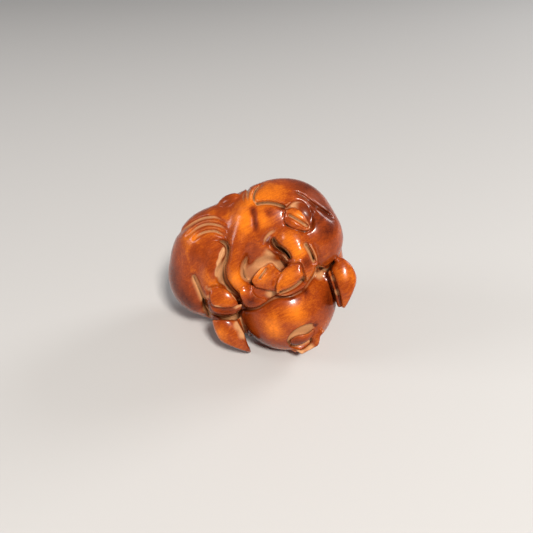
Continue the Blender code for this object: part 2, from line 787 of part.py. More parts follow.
@dataclass
class Hooves(Feature):
    """Four cloven hooves with their second toes and cuffs."""

    edge: float = 0.5

    def shape(self) -> None:
        """Adds the hooves, each with its lines."""
        self.height = self.units(self.sizes.hoof_height)
        self.left_hind()
        self.left_fore()
        self.right_fore()
        self.right_hind()

    def toe(self, outline: Path, form: Form, edge: float = 1.4) -> None:
        """Adds a form that is trimmed to the outline of a toe."""
        self.clay.add(Trimmed(form, outline, edge), self.edge)

    def left_hind(self) -> None:
        """The hoof at the lower left, over the left ear."""
        rim = [(209, 305), (206, 297), (206.5, 289), (213, 284), (223, 285), (232, 290), (239, 297.5)]
        lower = [(209, 301), (214, 305), (225, 307.5), (235, 306.5), (241.5, 303), (241, 308), (237, 312.5)]
        lower += [(229, 314.6), (220, 314.2), (213, 311.5), (210, 307)]
        upper = [(209.7, 290), (214.3, 286.4), (225.5, 289), (232.7, 295), (237.8, 303.3), (233.7, 306.3)]
        upper += [(225.5, 307.4), (213.3, 305.8), (209.7, 300.2)]
        self.line([*rim, (242, 304)], Tool.CREASE, 0.62, -0.24, fade=0.08)
        self.toe(lower, Limb.on(BALL, (208, 302, 0, 8), (225, 307, 0, 9), (243, 303, 0, 7)), 1.0)
        self.line([(213, 308.5), (225, 310.4), (234, 309.8)], Tool.CREASE, 0.6, 0.3, fade=0.25)
        self.toe(upper, Leaf.hoof((203, 291, 2), (244, 304, 5), 15, 1.1 * self.height, slim=0.3))

    def left_fore(self) -> None:
        """The heel and the wedge-shaped hoof in the middle, between the forelegs."""
        heel = [(238, 288), (244, 286), (250, 289.5), (252.5, 294), (257, 298), (263, 299.6), (268, 300)]
        heel += [(262, 304), (257, 306.5), (250, 307.3), (245, 305.5), (241, 298)]
        sole = [(252, 285), (256, 286.5), (266, 288), (276.5, 290), (276.5, 294), (268, 299.3)]
        sole += [(256.5, 296.5), (252.5, 292)]
        face = [(270.4, 262.6), (260.5, 268), (254, 275.5), (251.3, 281), (256, 287.2), (265.5, 289.4)]
        face += [(276, 291.2), (277, 282), (281, 272)]
        self.toe(heel, Limb.on(BALL, (243, 291, 0, 10), (254, 298, 2, 10), (270, 300, 0, 8)))
        under = Leaf.hoof((266, 278, -2), (267, 306, -1), 24, self.height)
        wedge = Leaf.hoof((276, 254, -1), (258, 298, 4), 22, 1.1 * self.height)
        self.clay.add(Trimmed(under, sole, 1.0, 1), self.edge)
        under_edge = [(250.3, 283.5), (251.8, 290), (255.5, 296), (267, 300)]
        self.line(under_edge, Tool.CREASE, 0.5, -0.32, fade=0.06)
        self.clay.add(Trimmed(wedge, face, 1.2, 1), self.edge)
        self.line([(272, 262), (271, 272), (270, 281), (269.5, 290)], Tool.CREASE, 1.5, -0.22, fade=0.1)
        cleft = [(267, 267.3), (264.4, 271.2), (261.5, 275), (258.3, 279.6)]
        self.line(cleft, Tool.CLEFT, 1.1, 1.4, fade=0.12)

    def right_fore(self) -> None:
        """The hoof that stands out furthest, below the hooked foreleg."""
        lower = [(300, 272), (304, 274), (307.8, 280.8), (303, 288), (292, 294), (284, 295.8), (277.3, 294.4)]
        lower += [(276.3, 288), (284, 284)]
        upper = [(277.2, 293.8), (276, 287), (278.6, 276.7), (285.7, 267.6), (295, 262), (300.5, 264.5)]
        upper += [(303.5, 271), (304.5, 276.5), (298, 284), (287.5, 290)]
        self.toe(lower, Leaf.hoof((316, 266, 5), (266, 304, 12), 16, 1.15 * self.height, slim=0.2))
        self.toe(upper, Leaf.hoof((310, 255, 8), (268, 297, 15), 17, 1.4 * self.height, slim=0.2))
        self.line([(305, 276.5), (298, 284), (288, 290), (279, 292.8)], Tool.CLEFT, 1.3, 1.3, fade=0.04)
        cuff = [(291, 264), (296, 260.8), (302, 262.5), (304.5, 268.5), (306.5, 275), (309, 281)]
        self.line(cuff, Tool.CREASE, 0.6, -0.3)
        self.line([(296, 263), (300.8, 264.3), (303.4, 270), (306, 278)], Tool.CREASE, 0.6, 0.3, fade=0.1)

    def right_hind(self) -> None:
        """The small hoof on top, with its second toe behind it and a step round both."""
        behind = [(289, 206), (294, 202.5), (300, 201.5), (308, 206.5), (312, 216), (311.5, 228), (306, 219)]
        behind += [(300, 211)]
        face = [(288, 209), (293, 207.3), (300.5, 210.6), (306.3, 218), (310.8, 227.6), (307, 230.8)]
        face += [(296.3, 229.2), (288, 225), (284.3, 220.6), (285.4, 213.5)]
        step = [(284, 225), (282.5, 218), (283.5, 210.5), (288, 204), (295, 199.7), (304, 201), (311.5, 207)]
        step += [(315, 217), (314.5, 228), (307, 233.5), (296, 232), (286, 227.5)]
        self.clay.patch(step, 0.34 * self.height, 3)
        self.toe(behind, Leaf.hoof((290, 196, -4), (316, 228, 0), 14, self.height, slim=0.2), 1.2)
        self.toe(face, Leaf.hoof((278, 211, 1.5), (318, 230, 7), 13, self.height, slim=0.2), 1.2)
        self.line([(288, 214.5), (297, 219.3), (308.5, 227)], Tool.CLEFT, 1.15, 1.5, fade=0.06)
        self.line([(285.5, 212), (286.5, 206.5), (290.5, 202)], Tool.CREASE, 0.7, -0.28, fade=0.1)


@dataclass
class EarsAndTail(Feature):
    """Two leaf-shaped ears at the sides of the head, and the tail's tip between the haunches."""

    def shape(self) -> None:
        """Adds the ears with their folds, the gap over the left ear, and the tail."""
        self.thick = 0.5 * self.units(self.sizes.ear_thickness)
        self.left_ear()
        self.right_ear()
        tail_root, tail_end = BALL.seen(240, 196.5, 1), BALL.seen(216, 205.5, -1)
        tail = 0.5 * self.units(self.sizes.tail_thickness)
        self.clay.add(Leaf(tail_root, tail_end, 6.5, tail, BALL.normal(tail_root), slim=0.3), 1)

    def left_ear(self) -> None:
        """The ear at the lower left, with the dark gap over it and the fold between it and the head."""
        base, tip = FRONT.at_height(214, 304, 54), FRONT.at_height(252, 356, 1)
        outline = [(211.8, 318.5), (222, 319.2), (235.5, 319.4), (239, 324), (243.5, 332), (250.5, 350)]
        outline += [(249, 352), (234.5, 347.4), (220.8, 341), (214.8, 331.5), (212.2, 323)]
        gap = [(211, 313), (219, 315), (229, 315.3), (237, 312.8), (242, 308), (241.5, 313), (236.5, 319.3)]
        gap += [(223, 319.4), (211, 319)]
        fold = [(238, 310), (240.5, 318), (244, 328), (248, 339), (251, 348)]
        web = (241, 316, 44), (246, 331, 25), (248.5, 339, 14)
        self.clay.add(Limb([FRONT.at_height(*place) + (0, 12, 0) for place in web], [13, 10, 6]), 4)
        self.line(fold, Tool.CHANNEL, 0.4, 0.4, fade=0.06)
        ear = Leaf(base, tip, 17.5, 2.3 * self.thick, (-0.2, -0.9, 0.3), slim=0.3)
        self.clay.add(Trimmed(ear, outline, 1.8), 1)
        self.clay.cut(Trimmed(Ellipsoid(BALL.seen(226, 315, -5), (22, 29, 20)), gap, 1.0), 0.8)
        self.line([(235, 321), (239.5, 329), (244.5, 339), (248.5, 348)], Tool.CREASE, 0.5, 0.2, fade=0.1)

    def right_ear(self) -> None:
        """The ear at the right, behind a thin strip of skin and under the shoulder."""
        base, tip = FRONT.at_height(339, 249, 106), FRONT.at_height(345, 314, 52)
        root = base + (-18, 14, -22), (base + tip) / 2 + (-9, 12, -3)
        outline = [(331, 264), (339, 256.6), (349.3, 262), (356, 272), (357.2, 281), (353.7, 292)]
        outline += [(346.6, 306), (343, 307.3), (341.6, 299), (339, 289), (335.5, 278), (331, 268)]
        strip = [(327, 268.5), (330.8, 268), (335.3, 278), (338.8, 289), (341.3, 299), (342, 306), (338, 306)]
        strip += [(335.8, 295), (332.3, 283)]
        middle = (329, 270, 88), (333, 281, 79), (336.5, 291, 71), (340, 303, 61)
        self.clay.add(Limb(root, [12, 10]), 5)
        under = (331, 271, 80), (336, 265, 88)
        bar = Limb([FRONT.at_height(*place) for place in middle], [8, 9, 9, 7])
        self.clay.add(Limb([FRONT.at_height(*place) for place in under], [7, 8]), 3)
        self.clay.add(Trimmed(bar, strip, 1.2), 0.8)
        ear = Leaf(base, tip, 17, 2.2 * self.thick, (0.45, -0.85, 0.2), slim=0.1)
        self.clay.add(Trimmed(ear, outline, 1.8), 0.8)


@dataclass
class SkinFolds(Feature):
    """Wrinkles beside the tail, and the creases of haunch, thigh, belly and shoulder."""

    def shape(self) -> None:
        """Cuts the folds."""
        self.beside_tail()
        self.haunches()
        thigh = [(192.6, 273.5), (196, 281), (202, 295), (206.5, 307), (211, 318.6)]
        width, depth = self.sizes.in_units(Tool.CREASE)
        self.line(thigh, Tool.CREASE, 0.9, 0.6, fade=0.12)
        self.clay.ledge(thigh, 2.8 * width, 0.5 * depth)
        self.line([(252.8, 209), (254.2, 221), (255, 235)], Tool.CREASE, 1.5, 0.18, fade=0.4)
        shoulder = [(316, 266.3), (321, 267.6), (327.6, 269.8), (332, 265.5), (336, 260.3)]
        self.line(shoulder, Tool.CREASE, 0.65, 0.5, fade=0.1)

    def beside_tail(self) -> None:
        """The thin wrinkles on both sides of the tail."""
        left = (
            [(176.6, 237.6), (182.3, 230.6), (191.9, 223.6), (200.8, 219), (209.7, 217.2), (217.4, 218)],
            [(183.6, 238.9), (190.6, 232.5), (198.3, 226.8), (207, 224), (216, 224.8), (222.5, 227.4)],
            [(191.9, 240.8), (197, 235.7), (204.6, 232), (214, 231), (220.6, 233.8)],
        )
        top = (
            ([(263.2, 184), (257.4, 188.2), (254, 194.9), (254, 200.7), (257, 204.5)], 1.4),
            ([(250, 187.5), (247.5, 191), (247, 196.5), (248.2, 204)], 0.9),
            ([(245, 190.5), (243.3, 194.5), (243, 199), (245, 205)], 0.7),
        )
        ends = (228, 225), (227, 232), (226, 237)
        for points, end in zip(left, ends):
            self.line([*points, end], Tool.WRINKLE, 0.95, fade=0.3)
        for points, deep in top:
            self.line(points, Tool.WRINKLE, 0.75, deep, fade=0.35)

    def haunches(self) -> None:
        """The shadow line under the top haunch, and the valley that runs over it to the shoulder."""
        under = [(255, 204.5), (262, 203.2), (270, 203), (279, 205), (287, 209)]
        valley = [(288, 190.8), (296.3, 191), (304.6, 194.7), (313, 201), (321, 206.8), (329.5, 212)]
        valley += [(333, 216.5), (329, 215.5), (321, 211.5), (313, 207.3), (304.6, 199.5), (296.3, 194.5)]
        lower = [(287, 192.5), (296.3, 195.5), (304.6, 200.8), (313, 208.8), (321, 212.5)]
        self.line(under, Tool.CREASE, 0.75, 0.9, fade=0.08)
        self.clay.patch(valley, self.units(0.0007), 2.2)
        upper = [(287, 189.5), (296.3, 189.7), (304.6, 193), (313, 199), (321.5, 205), (330, 210.3)]
        self.line(upper, Tool.CREASE, 0.8, -0.13)
        self.line(lower, Tool.CREASE, 0.8, -0.13)
        self.line([(319, 210), (326, 213.7), (331, 217), (335, 220)], Tool.CREASE, 0.75, 0.35, fade=0.4)


@dataclass
class BackRelief(Feature):
    """The furrow along the spine, and the edges of both haunches and the shoulder, plainer than the front."""

    def shape(self) -> None:
        """Cuts the relief as the view from behind shows it."""
        width, depth = self.sizes.in_units(Tool.CREASE)
        width, depth = 2.4 * width, 0.45 * depth
        spine = [(16, -62), (8, -40), (-4, -14), (-22, 8), (-44, 22), (-64, 34)]
        left_haunch = [(52, -28), (40, -20), (30, 0), (34, 26), (52, 46)]
        top_haunch = [(-14, -66), (-24, -46), (-44, -32), (-68, -26)]
        shoulder = [(-84, -6), (-62, -4), (-48, 12), (-46, 34), (-56, 52)]
        self.clay.groove(spine, width, depth, view=BACK)
        for edge in (left_haunch, top_haunch, shoulder):
            self.clay.groove(edge, width, 0.9 * depth, 0.3, BACK)
            self.clay.ledge(edge, 2.5 * width, 0.8 * depth, 0.3, BACK)


@dataclass
class Mouth(Feature):
    """The open mouth low on the head, with its tongue and the snout's angular rim."""

    def shape(self) -> None:
        """Builds up the snout, cuts the mouth and lays the tongue in it."""
        self.snout()
        self.hollow()
        self.tongue()

    def snout(self) -> None:
        """Adds the flesh below the mouth and the thin rim that stands out from it."""
        lip = 0.5 * self.units(self.sizes.lip_thickness)
        rim = (287, 347, 19), (290, 345, 21), (302, 351.5, 17), (315.5, 344.5, 23), (318, 336, 33)
        plate = [(284.5, 349.5), (290, 346.8), (295, 349), (302, 353.8), (310, 349.6), (318.7, 345)]
        plate += [(320, 341), (320.6, 336), (325.5, 330.5), (322, 327.5), (317, 330.5), (315, 333)]
        plate += [(313, 338.6), (310, 343.6), (302, 349.6), (298.6, 349.2), (291, 345.8), (285.5, 346.8)]
        self.clay.add(Ellipsoid(FRONT.at_height(301, 343, 12) + (0, 16, 2), (21, 19, 14)), 3)
        corners = [FRONT.at_height(*place) for place in (*rim, (322.5, 330.5, 39))]
        for a, b in zip(corners, corners[1:]):
            self.clay.add(Limb([a + (-5, 6, 0), b + (-5, 6, 0)], [1.4 * lip, 1.4 * lip]), 1)
            self.clay.add(Trimmed(Limb([a, b], [1.7 * lip, 1.7 * lip]), plate, 0.8, 1), 0.4)

    def hollow(self) -> None:
        """Cuts the mouth, deepest between the tongue and the rim."""
        mouth = [(287, 340), (290, 334.5), (295, 329.6), (301.3, 326), (308, 323.8), (315.5, 323), (319, 325)]
        mouth += [(321, 328), (316, 331.5), (313, 338.6), (310, 343.4), (302, 349.2), (297, 348.6)]
        deep = [(291, 343), (299, 344), (306, 341.5), (312, 336.5), (310.5, 343), (302, 349), (297, 348.4)]
        deep += [(291, 345.8)]
        middle = HEAD.seen(304, 336)
        self.clay.cut(Trimmed(Ellipsoid(middle, (24, 7, 24)), [*mouth, (290, 345.5)], 1.2), 0.8)
        self.clay.cut(Trimmed(Ellipsoid(middle, (24, 16, 24)), deep, 1.0), 0.8)

    def tongue(self) -> None:
        """Lays the tongue into the mouth."""
        outline = [(290, 340), (295, 336), (302, 334.2), (308, 333), (314.8, 327.8), (314, 334), (311, 339.8)]
        outline += [(305.5, 343.8), (298.6, 345.8), (291.5, 344.2)]
        tongue = Limb.on(HEAD, (289, 343, -8, 7), (299, 340, -7, 10), (309, 335, -7, 9), (316, 328, -7, 6))
        self.clay.add(Trimmed(tongue, outline, 1.6), 0.5)


@dataclass
class PigCarving:
    """The whole carving, worked in the order in which the forms lie over one another."""

    sizes: CarvingSizes
    low: Place = (-98, -98, -6)
    high: Place = (128, 80, 190)

    def carve(self, clay: Clay) -> None:
        """Works the carving out of a fresh block of clay, down to its planed underside."""
        for masses in (Trunk, HindLegs, Forelegs):
            masses(clay, self.sizes).shape()
        clay.add(HEAD, 3)
        clay.add(CHEEK, 9)
        for work in (Channels, Hooves, EarsAndTail, SkinFolds, BackRelief, Mouth):
            work(clay, self.sizes).shape()
        clay.soften()
        clay.plane_off(self.sizes.flat_depth / self.sizes.unit)
        clay.make_one_body()

    def place(self, points: Array) -> Array:
        """Brings points of the surface to their real place, at rest on the ground.

        Args:
            points: All the points of the surface, in view units.

        Returns:
            The points in metres, with the carving's real width, depth and height between them.
        """
        low, high = points.min(0), points.max(0)
        size = np.array([self.sizes.width, self.sizes.depth, self.sizes.height])
        bottom_centre = np.array([(low[0] + high[0]) / 2, (low[1] + high[1]) / 2, low[2]])
        return (points - bottom_centre) * size / (high - low)


SIZES = CarvingSizes(
    width=CARVING_WIDTH,
    depth=CARVING_DEPTH,
    height=CARVING_HEIGHT,
    flat_depth=FLAT_DEPTH,
    cuts={
        Tool.WRINKLE: Cut(WRINKLE_WIDTH, WRINKLE_DEPTH),
        Tool.CLEFT: Cut(CLEFT_WIDTH, CLEFT_DEPTH),
        Tool.CREASE: Cut(CREASE_WIDTH, CREASE_DEPTH),
        Tool.CHANNEL: Cut(CHANNEL_WIDTH, CHANNEL_DEPTH),
    },
    hoof_height=HOOF_HEIGHT,
    ear_thickness=EAR_THICKNESS,
    tail_thickness=TAIL_THICKNESS,
    lip_thickness=LIP_THICKNESS,
)


def wood() -> bpy.types.Material:
    """Polished boxwood, stained red-brown."""
    material = bpy.data.materials.new("polished_boxwood")
    material.use_nodes = True
    shader = material.node_tree.nodes["Principled BSDF"]
    shader.inputs["Base Color"].default_value = (0.45, 0.13, 0.025, 1.0)
    shader.inputs["Roughness"].default_value = 0.3
    shader.inputs["Metallic"].default_value = 0.0
    return material


def facet(pig: bpy.types.Object, faces: int) -> None:
    """Leaves the solid about FACES_KEPT faces, and lays its flat spots exactly on the ground."""
    fewer = pig.modifiers.new("Fewer faces", "DECIMATE")
    fewer.ratio = FACES_KEPT / faces
    fine = pig.data
    pig.data = bpy.data.meshes.new_from_object(pig.evaluated_get(bpy.context.evaluated_depsgraph_get()))
    pig.data.name = "pig_carving_faceted"
    pig.modifiers.clear()
    bpy.data.meshes.remove(fine)
    for vertex in pig.data.vertices:
        if vertex.co.z < FLAT_TOLERANCE:
            vertex.co.z = 0.0


def main() -> None:
    """Builds the carving as one solid."""
    for old in list(bpy.data.objects):
        bpy.data.objects.remove(old)
    carving = PigCarving(SIZES)
    clay = Clay(carving.low, carving.high, GRID_STEP)
    carving.carve(clay)
    points, quads = clay.surface()
    mesh = bpy.data.meshes.new("pig_carving")
    mesh.from_pydata(carving.place(points).tolist(), [], quads.tolist())
    mesh.shade_smooth()
    mesh.materials.append(wood())
    pig = bpy.data.objects.new("pig_carving", mesh)
    bpy.context.scene.collection.objects.link(pig)
    facet(pig, 2 * len(quads))


if __name__ == "__main__":
    main()
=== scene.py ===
"""A small pig carved from one block of boxwood, curled up on its back with its legs folded on its belly.

The carving is worked out in view units, and VIEW_WIDTH of them make its width. A place on the front is
given as the front view shows it, x to the right and y down, and its lift is how far it stands out from
the ball or the head that carries it. In space X runs to the right, Y away from the front and Z up.
"""

from __future__ import annotations

import logging
import math
from collections.abc import Sequence
from dataclasses import dataclass, field
from enum import Enum

import bpy
import numpy as np
from mathutils import Matrix, Vector
from numpy.typing import ArrayLike


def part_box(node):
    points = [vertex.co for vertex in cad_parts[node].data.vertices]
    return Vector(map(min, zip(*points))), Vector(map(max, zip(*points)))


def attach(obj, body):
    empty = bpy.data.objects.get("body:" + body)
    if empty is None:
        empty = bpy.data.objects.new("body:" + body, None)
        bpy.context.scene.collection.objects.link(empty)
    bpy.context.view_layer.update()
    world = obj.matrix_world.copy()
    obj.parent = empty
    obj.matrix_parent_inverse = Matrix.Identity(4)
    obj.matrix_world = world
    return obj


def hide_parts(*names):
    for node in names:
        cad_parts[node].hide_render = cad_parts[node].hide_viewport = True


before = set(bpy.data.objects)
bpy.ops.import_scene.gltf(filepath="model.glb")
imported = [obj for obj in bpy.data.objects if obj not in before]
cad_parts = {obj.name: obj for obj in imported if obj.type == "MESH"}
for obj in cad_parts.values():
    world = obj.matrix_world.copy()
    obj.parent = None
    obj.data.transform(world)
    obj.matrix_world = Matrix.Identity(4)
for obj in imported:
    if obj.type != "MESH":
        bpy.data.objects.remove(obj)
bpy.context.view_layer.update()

VIEW_WIDTH = 180.0
NODE = "pig_carving"

Array = np.ndarray
Spot = tuple[float, float]
Place = Sequence[float]
Path = Sequence[Spot]
Cells = tuple[Array, ...]
Colour = tuple[float, float, float]
Range = tuple[float, float]

log = logging.getLogger("pig")


@dataclass(frozen=True)
class Cut:
    """A line that a tool leaves: its half width and its depth, in metres."""

    width: float
    depth: float


class Tool(Enum):
    """The carver's tools, by the line that each leaves."""

    WRINKLE = "wrinkle"
    CLEFT = "cleft"
    CREASE = "crease"
    CHANNEL = "channel"


@dataclass(frozen=True)
class CarvingSizes:
    """The real sizes of the carving, in metres."""

    width: float
    depth: float
    height: float
    flat_depth: float
    cuts: dict[Tool, Cut]
    hoof_height: float
    ear_thickness: float
    tail_thickness: float
    lip_thickness: float

    @property
    def unit(self) -> float:
        """The length of one view unit."""
        return self.width / VIEW_WIDTH

    def in_units(self, tool: Tool) -> tuple[float, float]:
        """The half width and the depth of a tool's line in view units."""
        return self.cuts[tool].width / self.unit, self.cuts[tool].depth / self.unit


def unit(vector: ArrayLike) -> Array:
    """The vector, or each row of vectors, at length one."""
    vector = np.asarray(vector, float)
    return vector / np.linalg.norm(vector, axis=-1, keepdims=True)


class View:
    """A place to look from. Its turn is about Z, and its tilt is how far it looks down."""

    def __init__(self, turn: float, tilt: float, distance: float, aim: Place, centre: Spot) -> None:
        """Works out the directions and the eye of the view.

        Args:
            turn: How far it is turned about Z, in degrees.
            tilt: How far it looks down, in degrees.
            distance: How far the eye is from the point that it looks at.
            aim: The point that it looks at.
            centre: The spot where it shows that point.
        """
        turn, tilt = math.radians(turn), math.radians(tilt)
        level = np.array([math.sin(turn), math.cos(turn), 0.0])
        self.across = np.array([math.cos(turn), -math.sin(turn), 0.0])
        self.ahead = level * math.cos(tilt) - np.array([0.0, 0.0, math.sin(tilt)])
        self.up = level * math.sin(tilt) + np.array([0.0, 0.0, math.cos(tilt)])
        self.distance = distance
        self.eye = np.asarray(aim, float) - distance * self.ahead
        self.centre = centre

    def sight(self, x: float, y: float) -> Array:
        """The direction, at length one, in which the view sees a spot x to the right and y down."""
        right, down = x - self.centre[0], y - self.centre[1]
        return unit(self.ahead * self.distance + self.across * right - self.up * down)

    def at_depth(self, x: float, y: float, depth: float) -> Array:
        """The point that the view sees at x, y where Y is depth."""
        way = self.sight(x, y)
        return self.eye + way * (depth - self.eye[1]) / way[1]

    def at_height(self, x: float, y: float, height: float) -> Array:
        """The point that the view sees at x, y where Z is height."""
        way = self.sight(x, y)
        return self.eye + way * (height - self.eye[2]) / way[2]

    def project(self, x: Array, y: Array, z: Array) -> tuple[Array, Array]:
        """Where the view shows points.

        Args:
            x: Their places along X.
            y: Their places along Y.
            z: Their places along Z.

        Returns:
            How far each shows to the right, and how far down.
        """
        x, y, z = x - self.eye[0], y - self.eye[1], z - self.eye[2]
        near, right, up = (a[0] * x + a[1] * y + a[2] * z for a in (self.ahead, self.across, self.up))
        scale = self.distance / near
        return self.centre[0] + right * scale, self.centre[1] - up * scale


FRONT = View(turn=0, tilt=35.5, distance=534, aim=(0, 0, 69), centre=(240, 266.5))
BACK = View(turn=180, tilt=10, distance=534, aim=(10, 0, 80), centre=(0, 0))


class Form:
    """A solid shape in space, which knows how far any point lies outside it."""

    centre: Array
    radii: Array
    axes: Array

    def reach(self) -> tuple[Array, Array]:
        """The corners of a box that holds the form."""
        half = np.linalg.norm(self.axes.T * self.radii, axis=1)
        return self.centre - half, self.centre + half

    def distance(self, x: Array, y: Array, z: Array) -> Array:
        """How far points lie outside the form, negative inside it."""
        raise NotImplementedError(type(self).__name__)


class Ellipsoid(Form):
    """A ball with three radii along its own axes, which are rows."""

    def __init__(self, centre: Place, radii: Place, axes: ArrayLike | None = None) -> None:
        """Sets the ball in space.

        Args:
            centre: Its middle.
            radii: Its three radii.
            axes: The directions that they lie in, or None for X, Y and Z.
        """
        self.centre = np.asarray(centre, float)
        self.radii = np.asarray(radii, float)
        self.axes = np.eye(3) if axes is None else np.asarray(axes, float)

    def distance(self, x: Array, y: Array, z: Array) -> Array:
        """How far points lie outside the ball.

        Args:
            x: Their places along X.
            y: Their places along Y.
            z: Their places along Z.

        Returns:
            The distance of each, negative inside.
        """
        x, y, z = x - self.centre[0], y - self.centre[1], z - self.centre[2]
        local = [a[0] * x + a[1] * y + a[2] * z for a in self.axes]
        return rounded_distance(local, self.radii)

    def normal(self, point: ArrayLike) -> Array:
        """The outward direction of the ball at a point, or at rows of points."""
        local = (np.asarray(point, float) - self.centre) @ self.axes.T
        return unit((local / self.radii**2) @ self.axes)

    def seen(self, x: float, y: float, lift: float = 0.0) -> Array:
        """The point of the ball that the front view shows at a spot.

        Args:
            x: How far the spot lies to the right.
            y: How far it lies down.
            lift: How far the point is moved out of the ball.

        Returns:
            The point in space, or the nearest rim of the ball where the view shows it beside the ball.
        """
        way = FRONT.sight(x, y)
        start = self.axes @ (FRONT.eye - self.centre) / self.radii
        run = self.axes @ way / self.radii
        a, b, c = run @ run, start @ run, start @ start - 1
        inside = max(b * b - a * c, 0.0)
        point = FRONT.eye + way * (-b - math.sqrt(inside)) / a
        return point + lift * self.normal(point)


def rounded_distance(local: Sequence[Array], radii: Sequence[float]) -> Array:
    """How far points lie outside an ellipsoid at the origin, closest to the truth near its surface.

    Args:
        local: The places of the points along the ellipsoid's three axes.
        radii: Its three radii.

    Returns:
        The distance of each point, negative inside.
    """
    near = np.sqrt(sum((q / r) ** 2 for q, r in zip(local, radii)))
    slope = np.sqrt(sum((q / r**2) ** 2 for q, r in zip(local, radii)))
    return near * (near - 1) / np.maximum(slope, 1e-6)


def smooth_line(points: ArrayLike, steps: int = 5) -> Array:
    """A curve through points.

    Args:
        points: The points, one in each row.
        steps: How many short runs lie between each two of them.

    Returns:
        The points of the curve, one in each row.
    """
    points = np.asarray(points, float)
    if len(points) < 3:
        return points
    ends = np.vstack([2 * points[0] - points[1], points, 2 * points[-1] - points[-2]])
    share = np.arange(steps)[:, None] / steps
    runs = []
    for a, b, c, d in zip(ends, ends[1:], ends[2:], ends[3:]):
        bend = (2 * a - 5 * b + 4 * c - d) * share**2 + (3 * b - a - 3 * c + d) * share**3
        runs.append(b + 0.5 * ((c - a) * share + bend))
    return np.vstack(runs + [points[-1:]])


def beside(line: Array, x: Array, y: Array) -> tuple[Array, Array, Array]:
    """How spots lie to a line of straight runs.

    Args:
        line: The points of the line.
        x: How far each spot lies to the right.
        y: How far it lies down.

    Returns:
        The distance of each to the line, 1 or -1 for its side of it, and its share along it.
    """
    away, side, share = np.full(len(x), np.inf), np.zeros(len(x)), np.zeros(len(x))
    for i, (a, b) in enumerate(zip(line, line[1:])):
        run = b - a
        part = np.clip(((x - a[0]) * run[0] + (y - a[1]) * run[1]) / max(run @ run, 1e-9), 0, 1)
        rest, below = x - a[0] - part * run[0], y - a[1] - part * run[1]
        this = np.hypot(rest, below)
        closer = this < away
        away = np.where(closer, this, away)
        side = np.where(closer, np.sign(run[0] * below - run[1] * rest), side)
        share = np.where(closer, (i + part) / (len(line) - 1), share)
    return away, side, share


def within(line: Array, x: Array, y: Array) -> Array:
    """Whether spots lie within a closed line.

    Args:
        line: The points of the line, the last at the first.
        x: How far each spot lies to the right.
        y: How far it lies down.

    Returns:
        True for each spot that does.
    """
    inside = np.zeros(len(x), bool)
    for a, b in zip(line, line[1:]):
        if a[1] != b[1]:
            crossing = a[0] + (y - a[1]) * (b[0] - a[0]) / (b[1] - a[1])
            inside ^= ((y >= a[1]) != (y >= b[1])) & (x < crossing)
    return inside


class Limb(Form):
    """A round limb along a smooth line of points, each with its own radius."""

    def __init__(self, points: Sequence[Place], radii: Sequence[float]) -> None:
        """Draws a smooth line through the points, with a radius at each."""
        self.line = smooth_line(np.column_stack([points, radii]))

    @classmethod
    def on(cls, carrier: Ellipsoid, *places: Sequence[float]) -> Limb:
        """A limb through places x, y, lift, radius as the front view shows them on a ball."""
        return cls([carrier.seen(x, y, lift) for x, y, lift, _ in places], [p[3] for p in places])

    def reach(self) -> tuple[Array, Array]:
        """The corners of a box that holds the limb."""
        points, radii = self.line[:, :3], self.line[:, 3:]
        return (points - radii).min(0), (points + radii).max(0)

    def distance(self, x: Array, y: Array, z: Array) -> Array:
        """How far points lie outside the limb.

        Args:
            x: Their places along X.
            y: Their places along Y.
            z: Their places along Z.

        Returns:
            The distance of each, negative inside.
        """
        nearest = np.float32(np.inf)
        for a, b in zip(self.line, self.line[1:]):
            run = b - a
            px, py, pz = x - a[0], y - a[1], z - a[2]
            share = (px * run[0] + py * run[1] + pz * run[2]) / max(run[:3] @ run[:3], 1e-9)
            share = np.clip(share, 0, 1)
            away = (px - share * run[0]) ** 2 + (py - share * run[1]) ** 2 + (pz - share * run[2]) ** 2
            nearest = np.minimum(nearest, np.sqrt(away) - a[3] - share * run[3])
        return nearest


class Leaf(Form):
    """A bean or leaf from base to tip, which gets slimmer towards the tip."""

    SLIMMEST = 0.15

    def __init__(
        self, base: Place, tip: Place, width: float, thick: float, out: Place, slim: float = 0.4
    ) -> None:
        """Sets the leaf in space.

        Args:
            base: The point where it starts.
            tip: The point where it ends.
            width: Half its width.
            thick: Half its thickness.
            out: The direction in which its flat side faces.
            slim: How much narrower it gets at the tip.
        """
        base, tip, out = (np.asarray(a, float) for a in (base, tip, out))
        along = unit(tip - base)
        out = unit(out - along * (out @ along))
        self.centre = (base + tip) / 2
        self.axes = np.array([along, np.cross(out, along), out])
        self.radii = np.array([np.linalg.norm(tip - base) / 2, width, thick])
        self.slim = slim

    @classmethod
    def hoof(cls, base: Place, tip: Place, width: float, thick: float, slim: float = 0.4) -> Leaf:
        """A hoof on the ball, turned half outwards and half to the front.

        Args:
            base: Where it starts, as x, y and lift.
            tip: Where it ends, likewise.
            width: Half its width.
            thick: Half its thickness.
            slim: How much narrower it gets at the tip.

        Returns:
            The hoof as a leaf.
        """
        start, end = BALL.seen(*base), BALL.seen(*tip)
        to_front = -FRONT.sight((base[0] + tip[0]) / 2, (base[1] + tip[1]) / 2)
        return cls(start, end, width, thick, BALL.normal((start + end) / 2) + to_front, slim)

    def distance(self, x: Array, y: Array, z: Array) -> Array:
        """How far points lie outside the leaf.

        Args:
            x: Their places along X.
            y: Their places along Y.
            z: Their places along Z.

        Returns:
            The distance of each, negative inside.
        """
        x, y, z = x - self.centre[0], y - self.centre[1], z - self.centre[2]
        along, wide, thick = (a[0] * x + a[1] * y + a[2] * z for a in self.axes)
        size = 1 - self.slim * np.clip(along / self.radii[0], 0, 1.2) ** 1.6
        size = np.maximum(size, self.SLIMMEST)
        return rounded_distance((along, wide / size, thick / size), self.radii) * np.maximum(size, 0.4)


